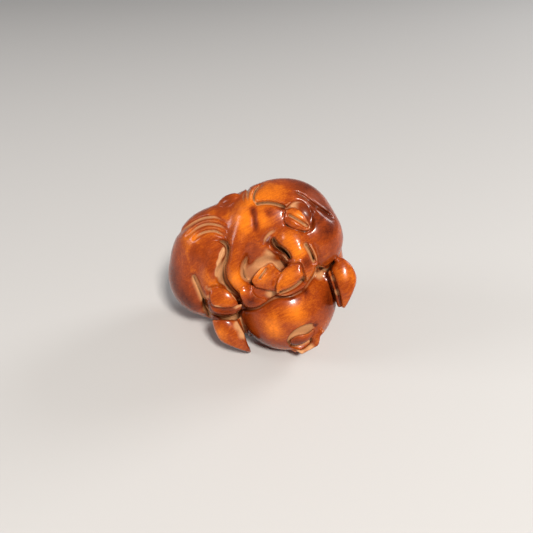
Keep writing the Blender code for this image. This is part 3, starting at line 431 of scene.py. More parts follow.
class Trimmed(Form):
    """A form that is trimmed to an outline, as the front view shows it, with the rim rounded over edge."""

    def __init__(self, form: Form, corners: Path, edge: float = 2.0, steps: int = 4) -> None:
        """Draws the outline round the form.

        Args:
            form: The form that is trimmed.
            corners: The corners of the outline as the front view shows them.
            edge: How far from the outline the rounding of the rim starts.
            steps: How many short runs lie between each two corners.
        """
        self.form = form
        self.outline = smooth_line([*corners, corners[0]], steps)
        self.edge = edge

    def reach(self) -> tuple[Array, Array]:
        """The corners of a box that holds the form."""
        return self.form.reach()

    def distance(self, x: Array, y: Array, z: Array) -> Array:
        """How far points lie outside what the trimming leaves.

        Args:
            x: Their places along X.
            y: Their places along Y.
            z: Their places along Z.

        Returns:
            The distance of each, negative inside.
        """
        away = self.form.distance(x, y, z)
        near = np.nonzero(away < self.edge)
        across, down = (a[near] for a in np.broadcast_arrays(*FRONT.project(x, y, z)))
        rim, _, _ = beside(self.outline, across, down)
        rim = np.where(within(self.outline, across, down), -rim, rim)
        away[near] = -soft_min(-away[near], -rim, self.edge)
        return away


# The ball that all but the head is carved on, as the front view shows it, and the head.
BALL_ROLL, BALL_YAW = math.radians(39.7), math.radians(-9)
BALL_FLAT = (-math.sin(BALL_YAW), math.cos(BALL_YAW), 0.0)
BALL_LONG = math.cos(BALL_ROLL) * np.cross(BALL_FLAT, (0, 0, 1)) + (0, 0, math.sin(BALL_ROLL))
BALL_AXES = np.array([BALL_LONG, BALL_FLAT, np.cross(BALL_LONG, BALL_FLAT)])
BALL_RADII = np.array([96.4, 56.2, 66.9])
BALL = Ellipsoid((9.6, 2.2, 80.0), BALL_RADII, BALL_AXES)
HEAD = Ellipsoid(FRONT.at_depth(286.5, 305, -30), (46, 43, 43.5))
CHEEK = Ellipsoid(FRONT.at_depth(311, 292, -23), (25, 30, 28))


def soft_min(a: Array, b: Array, blend: float) -> Array:
    """The smaller of two distances, with a fillet where they meet.

    Args:
        a: The one distance at each place.
        b: The other.
        blend: How far from the corner the fillet starts.

    Returns:
        The joined distance at each place.
    """
    overlap = np.clip(blend - np.abs(a - b), 0, None)
    return np.minimum(a, b) - overlap**2 / (4 * max(blend, 1e-6))


class Clay:
    """A block of space that knows its distance to the form, negative inside the wood.

    A tool works near the surface only, and presses less where the surface turns away from the view.
    """

    EMPTY_DISTANCE = 40.0
    TOOL_REACH = 14.0
    ROOM_ROUND_FORM = 6.0
    LEDGE_EDGE = 1.2
    PRESS_SLOPE, PRESS_START = 6.0, 0.9
    END_POWER = 0.7

    def __init__(self, low: Place, high: Place, step: float) -> None:
        """Fills a block with empty space.

        Args:
            low: Its lowest corner.
            high: The corner that it reaches at least.
            step: The size of its cells.
        """
        self.low, self.step = np.asarray(low, float), step
        count = np.ceil((np.asarray(high) - self.low) / step).astype(int) + 1
        self.axis = [(a + step * np.arange(n)).astype(np.float32) for a, n in zip(self.low, count)]
        self.field = np.full(tuple(count), self.EMPTY_DISTANCE, np.float32)
        self.bands: dict[View, tuple[Cells, Array, Array]] = {}

    def box_round(self, form: Form, blend: float) -> tuple[slice, ...]:
        """The cells of a box round a form.

        Args:
            form: The form that the box holds.
            blend: How far from the corner between form and wood the fillet starts.

        Returns:
            The slice of cells along each axis.
        """
        low, high = form.reach()
        margin = blend + 3 * self.step + self.ROOM_ROUND_FORM
        first = np.floor((low - margin - self.low) / self.step).astype(int)
        last = np.ceil((high + margin - self.low) / self.step).astype(int) + 1
        return tuple(slice(max(a, 0), max(b, 1)) for a, b in zip(first, last))

    def join(self, form: Form, blend: float, sign: int) -> None:
        """Adds a form or cuts it away.

        Args:
            form: The form.
            blend: How far from the corner between form and wood the fillet starts.
            sign: 1 to add the form and -1 to cut it away.
        """
        box = self.box_round(form, blend)
        x, y, z = (a[s] for a, s in zip(self.axis, box))
        away = form.distance(x[:, None, None], y[None, :, None], z[None, None, :])
        self.field[box] = sign * soft_min(sign * self.field[box], away, blend)
        self.bands.clear()

    def add(self, form: Form, blend: float = 4.0) -> None:
        """Joins a form to the wood, with the corner filled over blend."""
        self.join(form, blend, 1)

    def cut(self, form: Form, blend: float = 1.0) -> None:
        """Takes a form away from the wood."""
        self.join(form, blend, -1)

    def near(self, view: View, line: Array, reach: float) -> tuple[Cells, Array, Array, Array]:
        """The cells near the surface that a view shows within a box round a line.

        Args:
            view: The view that shows the line.
            line: Its points in that view.
            reach: How far beyond the line the box goes.

        Returns:
            The cells, how far to the right and how far down each shows, and how hard a tool presses there.
        """
        if view not in self.bands:
            cells = np.nonzero(np.abs(self.field) < self.TOOL_REACH)
            self.bands[view] = cells, *view.project(*(a[i] for a, i in zip(self.axis, cells)))
        cells, across, down = self.bands[view]
        (left, top), (right, bottom) = line.min(0) - reach, line.max(0) + reach
        inside = np.nonzero((across > left) & (across < right) & (down > top) & (down < bottom))[0]
        cells = tuple(c[inside] for c in cells)
        points = np.column_stack([a[i] for a, i in zip(self.axis, cells)])
        facing = (BALL.normal(points) * unit(view.eye - points)).sum(-1)
        pressed = np.clip(facing * self.PRESS_SLOPE + self.PRESS_START, 0, 1)
        return cells, across[inside], down[inside], pressed

    def sink(self, cells: Cells, depth: Array) -> None:
        """Moves the surface into the wood by a depth at each of some cells, or out where it is negative."""
        self.field[cells] += depth

    def run_out(self, share: Array, fade: float) -> Array:
        """How deep a line is for each share along it, from 0 at its ends to 1 beyond the fade."""
        return np.clip(np.minimum(share, 1 - share) / fade, 0, 1) ** self.END_POWER

    def groove(
        self, points: Path, width: float, depth: float, fade: float = 0.15, view: View = FRONT
    ) -> None:
        """Sinks the surface along a line, or raises a ridge there.

        Args:
            points: The line as the view shows it.
            width: Half the width of the groove.
            depth: Its depth, negative for a ridge.
            fade: The share of the line over which it runs out at each end.
            view: The view that shows the line.
        """
        line = smooth_line(points, 6)
        cells, x, y, pressed = self.near(view, line, 3 * width)
        away, _, share = beside(line, x, y)
        self.sink(cells, depth * np.exp(-((away / width) ** 2)) * self.run_out(share, fade) * pressed)

    def ledge(self, points: Path, width: float, depth: float, fade: float = 0.2, view: View = FRONT) -> None:
        """Sinks the surface on the right of a line, as one walks along it.

        Args:
            points: The line as the view shows it.
            width: How far from the line the surface is back at its old level.
            depth: How far it drops beside the line.
            fade: The share of the line over which it runs out at each end.
            view: The view that shows the line.
        """
        line = smooth_line(points, 6)
        cells, x, y, pressed = self.near(view, line, 3 * width)
        away, side, share = beside(line, x, y)
        drop = np.exp(-((away / width) ** 2)) * np.clip(side * away / self.LEDGE_EDGE + 0.5, 0, 1)
        self.sink(cells, depth * drop * self.run_out(share, fade) * pressed)

    def patch(self, corners: Path, depth: float, edge: float) -> None:
        """Sinks the surface inside an outline.

        Args:
            corners: The outline as the front view shows it.
            depth: How far the surface goes down.
            edge: How far in from the outline it reaches that depth.
        """
        line = smooth_line([*corners, corners[0]], 4)
        cells, x, y, pressed = self.near(FRONT, line, 1.0)
        away, _, _ = beside(line, x, y)
        slope = np.clip(away / edge, 0, 1)
        self.sink(cells, depth * slope**2 * (3 - 2 * slope) * within(line, x, y) * pressed)

    def soften(self, reach: float = 2.5) -> None:
        """Rounds the surface over about one cell, which closes the tiny holes that cuts leave in steep walls.

        Args:
            reach: How many cells from the surface the rounding takes into account.
        """
        self.field = np.clip(self.field, -reach * self.step, reach * self.step)
        for axis in range(3):
            field = np.moveaxis(self.field, axis, 0)
            field[1:-1] = (field[:-2] + 2 * field[1:-1] + field[2:]) / 4

    def plane_off(self, height: float) -> None:
        """Takes away all that lies below a height."""
        self.field = np.maximum(self.field, height - self.axis[2][None, None, :])

    def fill_corners(self) -> None:
        """Joins the places where the wood would meet itself only along an edge between two cells."""
        filled = 1
        while filled:
            filled = 0
            for pair in ((0, 1), (0, 2), (1, 2)):
                field = np.moveaxis(self.field, pair, (0, 1))
                here, there, over, up = field[:-1, :-1], field[1:, 1:], field[1:, :-1], field[:-1, 1:]
                across = (here < 0) & (there < 0) & (over >= 0) & (up >= 0)
                over[across] = -0.4 * self.step
                across_too = (over < 0) & (up < 0) & (here >= 0) & (there >= 0)
                here[across_too] = -0.4 * self.step
                filled += np.count_nonzero(across) + np.count_nonzero(across_too)

    def make_one_body(self) -> None:
        """Fills the hollows that the air outside cannot reach, and drops the crumbs that float free."""
        self.fill_corners()
        outside = flood(self.field >= 0, (0, 0, 0))
        self.field[(self.field >= 0) & ~outside] = -0.5 * self.step
        middle = tuple(int(round((c - a) / self.step)) for c, a in zip(BALL.centre, self.low))
        body = flood(self.field < 0, middle)
        self.field[(self.field < 0) & ~body] = 0.5 * self.step

    def surface(self) -> tuple[Array, Array]:
        """Closed faces of four round the wood, with one vertex in each cell that its surface passes.

        Returns:
            The vertices in view units, and the four vertices of each face.
        """
        inside = self.field < 0
        cells = np.array(inside.shape) - 1
        weights, quads = [], []
        for axis in range(3):
            here = tuple(slice(0, -1) if a == axis else slice(1, -1) for a in range(3))
            there = tuple(slice(1, None) if a == axis else slice(1, -1) for a in range(3))
            start, end = self.field[here], self.field[there]
            crossed = np.nonzero(inside[here] != inside[there])
            index = np.column_stack(crossed) + [int(a != axis) for a in range(3)]
            point = index.astype(float)
            point[:, axis] += start[crossed] / (start[crossed] - end[crossed])
            u, v = np.eye(3, dtype=int)[(axis + 1) % 3], np.eye(3, dtype=int)[(axis + 2) % 3]
            corners = [np.ravel_multi_index((index - shift).T, cells) for shift in (u + v, v, 0 * u, u)]
            weights += [(corner, point) for corner in corners]
            quad = np.column_stack(corners)
            quads.append(np.where(inside[here][crossed][:, None], quad, quad[:, ::-1]))
        cell = np.concatenate([a for a, _ in weights])
        point = np.vstack([b for _, b in weights])
        used, where = np.unique(cell, return_inverse=True)
        count = np.bincount(where)
        middle = np.column_stack([np.bincount(where, point[:, a]) / count for a in range(3)])
        return middle * self.step + self.low, np.searchsorted(used, np.vstack(quads))


def flood(free: Array, seed: tuple[int, ...]) -> Array:
    """The free cells that can be reached from a seed cell, swept along each axis both ways.

    Args:
        free: Whether each cell is free.
        seed: The cell to start from.

    Returns:
        Whether each cell is reached.
    """
    reached = np.zeros_like(free)
    reached[seed] = True
    count = 0
    while count < np.count_nonzero(reached):
        count = np.count_nonzero(reached)
        for axis in range(3):
            for way in (1, -1):
                open_cells = np.moveaxis(free, axis, 0)[::way]
                done = np.moveaxis(reached, axis, 0)[::way]
                for i in range(1, len(done)):
                    done[i] |= done[i - 1] & open_cells[i]
    return reached


@dataclass
class Feature:
    """A part of the carving that is worked into the clay, with its sizes turned into view units."""

    clay: Clay
    sizes: CarvingSizes

    def units(self, length: float) -> float:
        """A real length in view units."""
        return length / self.sizes.unit

    def line(self, points: Path, tool: Tool, wide: float = 1, deep: float = 1, fade: float = 0.15) -> None:
        """Cuts a line on the front, at shares of a tool's width and depth, negative for a raised line."""
        width, depth = self.sizes.in_units(tool)
        self.clay.groove(points, width * wide, depth * deep, fade)


@dataclass
class Trunk(Feature):
    """The ball of the trunk, the rump, the belly, the neck and the seat that the carving rests on."""

    def shape(self) -> None:
        """Adds the masses that everything else is carved on."""
        add = self.clay.add
        add(Ellipsoid(BALL.centre, BALL_RADII - (4, 5, 5), BALL_AXES), 0)
        add(Ellipsoid(FRONT.at_height(244, 322, 36) + (0, 24, 0), (28, 22, 28)), 6)
        add(Limb([(61, 14, 96), (76, 14, 68), (55, 0, 46)], [28, 29.5, 34]), 12)
        add(Ellipsoid((-14, 14, 32), (34, 28, 31.5)), 8)
        add(Ellipsoid(BALL.seen(228, 312, -13), (14, 12, 12)), 6)
        add(Limb.on(BALL, (236, 214, -26, 26), (252, 202, -23, 27), (269, 198, -23, 28)), 8)
        add(Ellipsoid(BALL.seen(262, 232, -30), (31, 30, 35)), 6)


@dataclass
class HindLegs(Feature):
    """The thigh and shank on the left, and the haunch on top."""

    def shape(self) -> None:
        """Adds both hind legs."""
        thigh = (208, 222, -18, 23.5), (194, 237, -24, 32.5), (185, 254, -30, 37), (183, 272, -33, 39)
        shin_end = (182.5, 289, -30, 36), (188.5, 301, -25, 29)
        shank = (214, 256, -9, 13), (210, 274, -7, 13), (207, 286, -5, 10), (207, 293, -3, 8)
        self.clay.add(Limb.on(BALL, *thigh, *shin_end), 6)
        self.clay.add(Limb.on(BALL, *shank), 5)
        self.clay.add(Ellipsoid(BALL.seen(290, 210, -38), (46, 40, 43.5)), 6)


@dataclass
class Forelegs(Feature):
    """The leg along the belly's left edge, and the leg that hooks down from the shoulder on the right."""

    def shape(self) -> None:
        """Adds both forelegs."""
        shoulder = (314, 220, -20, 24), (323.5, 240, -19, 30), (330, 251.5, -14, 20.5)
        right = (318, 234, -14, 20), (296, 236, -10, 17), (299, 250, -2, 15)
        right_wrist = (303.5, 262, 4, 12), (303, 268, 5, 10)
        left = (244, 222, -13, 15), (238, 238, -9, 12), (235, 256, -6, 10), (234, 270, -4, 9.5)
        left_wrist = (240, 284, -3, 9), (250, 293, -3, 8)
        self.clay.add(Limb.on(BALL, *shoulder), 6)
        self.clay.add(Limb.on(BALL, *left, *left_wrist), 4)
        self.clay.add(Limb.on(BALL, *right, *right_wrist), 3)


@dataclass
class Channels(Feature):
    """The hollows that part the legs, the belly and the head from one another."""

    def shape(self) -> None:
        """Cuts the hollows."""
        self.left_legs()
        self.belly()
        self.right_foreleg()
        over_head = [(243, 308), (250, 309), (258, 307.7), (266, 302.7), (272, 299), (278, 297), (285, 297.2)]
        over_head += [(293, 295.6), (304, 289.5), (310, 281.5), (315, 272.5), (317, 266)]
        self.line(over_head, Tool.CHANNEL, 0.4, 0.26, fade=0.03)

    def left_legs(self) -> None:
        """The channel that runs down between the hind leg and the foreleg on the left."""
        outer = [(205, 242.5), (209, 240), (215.5, 238.2), (222.5, 239.5), (227.6, 242.7), (230, 248)]
        outer += [(228, 257), (226, 266), (226, 273), (228, 279), (233, 286), (240, 293), (243, 300)]
        inner = [(234, 296), (225, 289), (217, 285), (213, 276), (214, 268), (218.5, 263), (223, 257)]
        inner += [(225, 251), (222, 245.5), (216, 243), (210, 243.5)]
        middle = [(219, 240.5), (225, 243), (228, 249), (226.5, 259), (223.5, 267), (223.5, 276), (227, 285)]
        middle += [(238, 297)]
        ridge = [(206, 244.5), (212, 241.8), (218, 242), (223, 246.5), (222, 254), (218.5, 262), (216.3, 271)]
        ridge += [(217.5, 280), (223, 287.5)]
        self.clay.patch([*outer, (241, 303.5), *inner], 0.4 * self.channel, 4)
        self.line(middle, Tool.CHANNEL, 0.6, 0.36, fade=0.1)
        self.line(ridge, Tool.CREASE, 0.75, -0.24, fade=0.15)

    def belly(self) -> None:
        """The hollow on the belly that the hoof in the middle lies in, and the line along its wrist."""
        hollow = [(246, 262), (252, 260), (258, 257), (266, 254), (274, 256), (281, 261), (284, 268)]
        hollow += [(282, 278), (280, 290), (268, 300), (256, 297), (250, 290), (243, 282), (241, 272)]
        wrist = [(247.5, 254), (245, 262), (243.3, 270), (244, 277), (248, 280.5)]
        self.clay.patch(hollow, 0.26 * self.channel, 6)
        self.line(wrist, Tool.CHANNEL, 0.72, 0.42, fade=0.25)
        self.line([(243.5, 258), (241, 266), (240.3, 273), (242, 279)], Tool.CREASE, 0.6, 0.25, fade=0.3)

    def right_foreleg(self) -> None:
        """The deep recess under the hooked foreleg, its bright rim, and the line on the leg's other side."""
        recess = [(274, 235.5), (270.6, 239.5), (270, 244), (273, 247.8), (279, 251.3), (285, 255)]
        recess += [(288.5, 259.5), (292.5, 258.5), (290, 252), (285, 247), (279.5, 243.5), (277, 239.5)]
        rim = [(268.5, 246), (271, 249.5), (277.5, 253.6), (285, 258), (289, 263)]
        scoop = [(263, 245), (266, 238), (271, 232.5), (279, 229.5)]
        self.clay.patch(recess, self.channel, 3)
        self.line(rim, Tool.CREASE, 0.8, -0.3)
        self.line(scoop, Tool.CHANNEL, 0.75, 0.32, fade=0.3)
        self.line([(304, 242), (308, 247.5), (312, 255), (315, 264)], Tool.CREASE, 1.1, 0.85, fade=0.2)
        self.line([(309, 243), (313, 249), (316, 256), (317.5, 262)], Tool.CREASE, 0.7, -0.26, fade=0.2)
        self.line([(312, 242), (316.5, 248), (319, 256), (319.3, 263)], Tool.CREASE, 0.8, 0.25, fade=0.3)

    @property
    def channel(self) -> float:
        """The depth of a channel in view units."""
        return self.sizes.in_units(Tool.CHANNEL)[1]


@dataclass
class Hooves(Feature):
    """Four cloven hooves with their second toes and cuffs."""

    edge: float = 0.5

    def shape(self) -> None:
        """Adds the hooves, each with its lines."""
        self.left_hind()
        self.left_fore()
        self.right_fore()
        self.right_hind()

    @property
    def height(self) -> float:
        """The height of a hoof in view units."""
        return self.units(self.sizes.hoof_height)

    def toe(self, outline: Path, form: Form, edge: float = 1.4) -> None:
        """Adds a form that is trimmed to the outline of a toe."""
        self.clay.add(Trimmed(form, outline, edge), self.edge)

    def left_hind(self) -> None:
        """The hoof at the lower left, over the left ear."""
        rim = [(209, 305), (206, 297), (206.5, 289), (213, 284), (223, 285), (232, 290), (239, 297.5)]
        lower = [(209, 301), (214, 305), (225, 307.5), (235, 306.5), (241.5, 303), (241, 308), (237, 312.5)]
        lower += [(229, 314.6), (220, 314.2), (213, 311.5), (210, 307)]
        upper = [(209.7, 290), (214.3, 286.4), (225.5, 289), (232.7, 295), (237.8, 303.3), (233.7, 306.3)]
        upper += [(225.5, 307.4), (213.3, 305.8), (209.7, 300.2)]
        self.line([*rim, (242, 304)], Tool.CREASE, 0.62, -0.24, fade=0.08)
        self.toe(lower, Limb.on(BALL, (208, 302, 0, 8), (225, 307, 0, 9), (243, 303, 0, 7)), 1.0)
        self.line([(213, 308.5), (225, 310.4), (234, 309.8)], Tool.CREASE, 0.6, 0.3, fade=0.25)
        self.toe(upper, Leaf.hoof((203, 291, 2), (244, 304, 5), 15, 1.1 * self.height, slim=0.3))

    def left_fore(self) -> None:
        """The heel and the wedge-shaped hoof in the middle, between the forelegs."""
        heel = [(238, 288), (244, 286), (250, 289.5), (252.5, 294), (257, 298), (263, 299.6), (268, 300)]
        heel += [(262, 304), (257, 306.5), (250, 307.3), (245, 305.5), (241, 298)]
        sole = [(252, 285), (256, 286.5), (266, 288), (276.5, 290), (276.5, 294), (268, 299.3)]
        sole += [(256.5, 296.5), (252.5, 292)]
        face = [(270.4, 262.6), (260.5, 268), (254, 275.5), (251.3, 281), (256, 287.2), (265.5, 289.4)]
        face += [(276, 291.2), (277, 282), (281, 272)]
        self.toe(heel, Limb.on(BALL, (243, 291, 0, 10), (254, 298, 2, 10), (270, 300, 0, 8)))
        under = Leaf.hoof((266, 278, -2), (267, 306, -1), 24, self.height)
        wedge = Leaf.hoof((276, 254, -1), (258, 298, 4), 22, 1.1 * self.height)
        self.clay.add(Trimmed(under, sole, 1.0, 1), self.edge)
        under_edge = [(250.3, 283.5), (251.8, 290), (255.5, 296), (267, 300)]
        self.line(under_edge, Tool.CREASE, 0.5, -0.32, fade=0.06)
        self.clay.add(Trimmed(wedge, face, 1.2, 1), self.edge)
        self.line([(272, 262), (271, 272), (270, 281), (269.5, 290)], Tool.CREASE, 1.5, -0.22, fade=0.1)
        cleft = [(267, 267.3), (264.4, 271.2), (261.5, 275), (258.3, 279.6)]
        self.line(cleft, Tool.CLEFT, 1.1, 1.4, fade=0.12)

    def right_fore(self) -> None:
        """The hoof that stands out furthest, below the hooked foreleg."""
        lower = [(300, 272), (304, 274), (307.8, 280.8), (303, 288), (292, 294), (284, 295.8), (277.3, 294.4)]
        lower += [(276.3, 288), (284, 284)]
        upper = [(277.2, 293.8), (276, 287), (278.6, 276.7), (285.7, 267.6), (295, 262), (300.5, 264.5)]
        upper += [(303.5, 271), (304.5, 276.5), (298, 284), (287.5, 290)]
        self.toe(lower, Leaf.hoof((316, 266, 5), (266, 304, 12), 16, 1.15 * self.height, slim=0.2))
        self.toe(upper, Leaf.hoof((310, 255, 8), (268, 297, 15), 17, 1.4 * self.height, slim=0.2))
        self.line([(305, 276.5), (298, 284), (288, 290), (279, 292.8)], Tool.CLEFT, 1.3, 1.3, fade=0.04)
        cuff = [(291, 264), (296, 260.8), (302, 262.5), (304.5, 268.5), (306.5, 275), (309, 281)]
        self.line(cuff, Tool.CREASE, 0.6, -0.3)
        self.line([(296, 263), (300.8, 264.3), (303.4, 270), (306, 278)], Tool.CREASE, 0.6, 0.3, fade=0.1)

    def right_hind(self) -> None:
        """The small hoof on top, with its second toe behind it and a step round both."""
        behind = [(289, 206), (294, 202.5), (300, 201.5), (308, 206.5), (312, 216), (311.5, 228), (306, 219)]
        behind += [(300, 211)]
        face = [(288, 209), (293, 207.3), (300.5, 210.6), (306.3, 218), (310.8, 227.6), (307, 230.8)]
        face += [(296.3, 229.2), (288, 225), (284.3, 220.6), (285.4, 213.5)]
        step = [(284, 225), (282.5, 218), (283.5, 210.5), (288, 204), (295, 199.7), (304, 201), (311.5, 207)]
        step += [(315, 217), (314.5, 228), (307, 233.5), (296, 232), (286, 227.5)]
        self.clay.patch(step, 0.34 * self.height, 3)
        self.toe(behind, Leaf.hoof((290, 196, -4), (316, 228, 0), 14, self.height, slim=0.2), 1.2)
        self.toe(face, Leaf.hoof((278, 211, 1.5), (318, 230, 7), 13, self.height, slim=0.2), 1.2)
        self.line([(288, 214.5), (297, 219.3), (308.5, 227)], Tool.CLEFT, 1.15, 1.5, fade=0.06)
        self.line([(285.5, 212), (286.5, 206.5), (290.5, 202)], Tool.CREASE, 0.7, -0.28, fade=0.1)


@dataclass
class EarsAndTail(Feature):
    """Two leaf-shaped ears at the sides of the head, and the tail's tip between the haunches."""

    def shape(self) -> None:
        """Adds the ears with their folds, the gap over the left ear, and the tail."""
        self.left_ear()
        self.right_ear()
        tail_root, tail_end = BALL.seen(240, 196.5, 1), BALL.seen(216, 205.5, -1)
        tail = 0.5 * self.units(self.sizes.tail_thickness)
        self.clay.add(Leaf(tail_root, tail_end, 6.5, tail, BALL.normal(tail_root), slim=0.3), 1)

    @property
    def thick(self) -> float:
        """Half the thickness of an ear in view units."""
        return 0.5 * self.units(self.sizes.ear_thickness)

    def left_ear(self) -> None:
        """The ear at the lower left, with the dark gap over it and the fold between it and the head."""
        base, tip = FRONT.at_height(214, 304, 54), FRONT.at_height(252, 356, 1)
        outline = [(211.8, 318.5), (222, 319.2), (235.5, 319.4), (239, 324), (243.5, 332), (250.5, 350)]
        outline += [(249, 352), (234.5, 347.4), (220.8, 341), (214.8, 331.5), (212.2, 323)]
        gap = [(211, 313), (219, 315), (229, 315.3), (237, 312.8), (242, 308), (241.5, 313), (236.5, 319.3)]
        gap += [(223, 319.4), (211, 319)]
        fold = [(238, 310), (240.5, 318), (244, 328), (248, 339), (251, 348)]
        web = (241, 316, 44), (246, 331, 25), (248.5, 339, 14)
        self.clay.add(Limb([FRONT.at_height(*place) + (0, 12, 0) for place in web], [13, 10, 6]), 4)
        self.line(fold, Tool.CHANNEL, 0.4, 0.4, fade=0.06)
        ear = Leaf(base, tip, 17.5, 2.3 * self.thick, (-0.2, -0.9, 0.3), slim=0.3)
        self.clay.add(Trimmed(ear, outline, 1.8), 1)
        self.clay.cut(Trimmed(Ellipsoid(BALL.seen(226, 315, -5), (22, 29, 20)), gap, 1.0), 0.8)
        self.line([(235, 321), (239.5, 329), (244.5, 339), (248.5, 348)], Tool.CREASE, 0.5, 0.2, fade=0.1)

    def right_ear(self) -> None:
        """The ear at the right, behind a thin strip of skin and under the shoulder."""
        base, tip = FRONT.at_height(339, 249, 106), FRONT.at_height(345, 314, 52)
        root = base + (-18, 14, -22), (base + tip) / 2 + (-9, 12, -3)
        outline = [(331, 264), (339, 256.6), (349.3, 262), (356, 272), (357.2, 281), (353.7, 292)]
        outline += [(346.6, 306), (343, 307.3), (341.6, 299), (339, 289), (335.5, 278), (331, 268)]
        strip = [(327, 268.5), (330.8, 268), (335.3, 278), (338.8, 289), (341.3, 299), (342, 306), (338, 306)]
        strip += [(335.8, 295), (332.3, 283)]
        middle = (329, 270, 88), (333, 281, 79), (336.5, 291, 71), (340, 303, 61)
        self.clay.add(Limb(root, [12, 10]), 5)
        under = (331, 271, 80), (336, 265, 88)
        bar = Limb([FRONT.at_height(*place) for place in middle], [8, 9, 9, 7])
        self.clay.add(Limb([FRONT.at_height(*place) for place in under], [7, 8]), 3)
        self.clay.add(Trimmed(bar, strip, 1.2), 0.8)
        ear = Leaf(base, tip, 17, 2.2 * self.thick, (0.45, -0.85, 0.2), slim=0.1)
        self.clay.add(Trimmed(ear, outline, 1.8), 0.8)


@dataclass
class SkinFolds(Feature):
    """Wrinkles beside the tail, and the creases of haunch, thigh, belly and shoulder."""

    def shape(self) -> None:
        """Cuts the folds."""
        self.beside_tail()
        self.haunches()
        thigh = [(192.6, 273.5), (196, 281), (202, 295), (206.5, 307), (211, 318.6)]
        width, depth = self.sizes.in_units(Tool.CREASE)
        self.line(thigh, Tool.CREASE, 0.9, 0.6, fade=0.12)
        self.clay.ledge(thigh, 2.8 * width, 0.5 * depth)
        self.line([(252.8, 209), (254.2, 221), (255, 235)], Tool.CREASE, 1.5, 0.18, fade=0.4)
        shoulder = [(316, 266.3), (321, 267.6), (327.6, 269.8), (332, 265.5), (336, 260.3)]
        self.line(shoulder, Tool.CREASE, 0.65, 0.5, fade=0.1)

    def beside_tail(self) -> None:
        """The thin wrinkles on both sides of the tail."""
        left = (
            [(176.6, 237.6), (182.3, 230.6), (191.9, 223.6), (200.8, 219), (209.7, 217.2), (217.4, 218)],
            [(183.6, 238.9), (190.6, 232.5), (198.3, 226.8), (207, 224), (216, 224.8), (222.5, 227.4)],
            [(191.9, 240.8), (197, 235.7), (204.6, 232), (214, 231), (220.6, 233.8)],
        )
        top = (
            ([(263.2, 184), (257.4, 188.2), (254, 194.9), (254, 200.7), (257, 204.5)], 1.4),
            ([(250, 187.5), (247.5, 191), (247, 196.5), (248.2, 204)], 0.9),
            ([(245, 190.5), (243.3, 194.5), (243, 199), (245, 205)], 0.7),
        )
        ends = (228, 225), (227, 232), (226, 237)
        for points, end in zip(left, ends):
            self.line([*points, end], Tool.WRINKLE, 0.95, fade=0.3)
        for points, deep in top:
            self.line(points, Tool.WRINKLE, 0.75, deep, fade=0.35)

    def haunches(self) -> None:
        """The shadow line under the top haunch, and the valley that runs over it to the shoulder."""
        under = [(255, 204.5), (262, 203.2), (270, 203), (279, 205), (287, 209)]
        valley = [(288, 190.8), (296.3, 191), (304.6, 194.7), (313, 201), (321, 206.8), (329.5, 212)]
        valley += [(333, 216.5), (329, 215.5), (321, 211.5), (313, 207.3), (304.6, 199.5), (296.3, 194.5)]
        lower = [(287, 192.5), (296.3, 195.5), (304.6, 200.8), (313, 208.8), (321, 212.5)]
        self.line(under, Tool.CREASE, 0.75, 0.9, fade=0.08)
        self.clay.patch(valley, self.units(0.0007), 2.2)
        upper = [(287, 189.5), (296.3, 189.7), (304.6, 193), (313, 199), (321.5, 205), (330, 210.3)]
        self.line(upper, Tool.CREASE, 0.8, -0.13)
        self.line(lower, Tool.CREASE, 0.8, -0.13)
        self.line([(319, 210), (326, 213.7), (331, 217), (335, 220)], Tool.CREASE, 0.75, 0.35, fade=0.4)


@dataclass
class BackRelief(Feature):
    """The furrow along the spine, and the edges of both haunches and the shoulder, plainer than the front."""

    def shape(self) -> None:
        """Cuts the relief as the view from behind shows it."""
        width, depth = self.sizes.in_units(Tool.CREASE)
        width, depth = 2.4 * width, 0.45 * depth
        spine = [(16, -62), (8, -40), (-4, -14), (-22, 8), (-44, 22), (-64, 34)]
        left_haunch = [(52, -28), (40, -20), (30, 0), (34, 26), (52, 46)]
        top_haunch = [(-14, -66), (-24, -46), (-44, -32), (-68, -26)]
        shoulder = [(-84, -6), (-62, -4), (-48, 12), (-46, 34), (-56, 52)]
        self.clay.groove(spine, width, depth, view=BACK)
        for edge in (left_haunch, top_haunch, shoulder):
            self.clay.groove(edge, width, 0.9 * depth, 0.3, BACK)
            self.clay.ledge(edge, 2.5 * width, 0.8 * depth, 0.3, BACK)


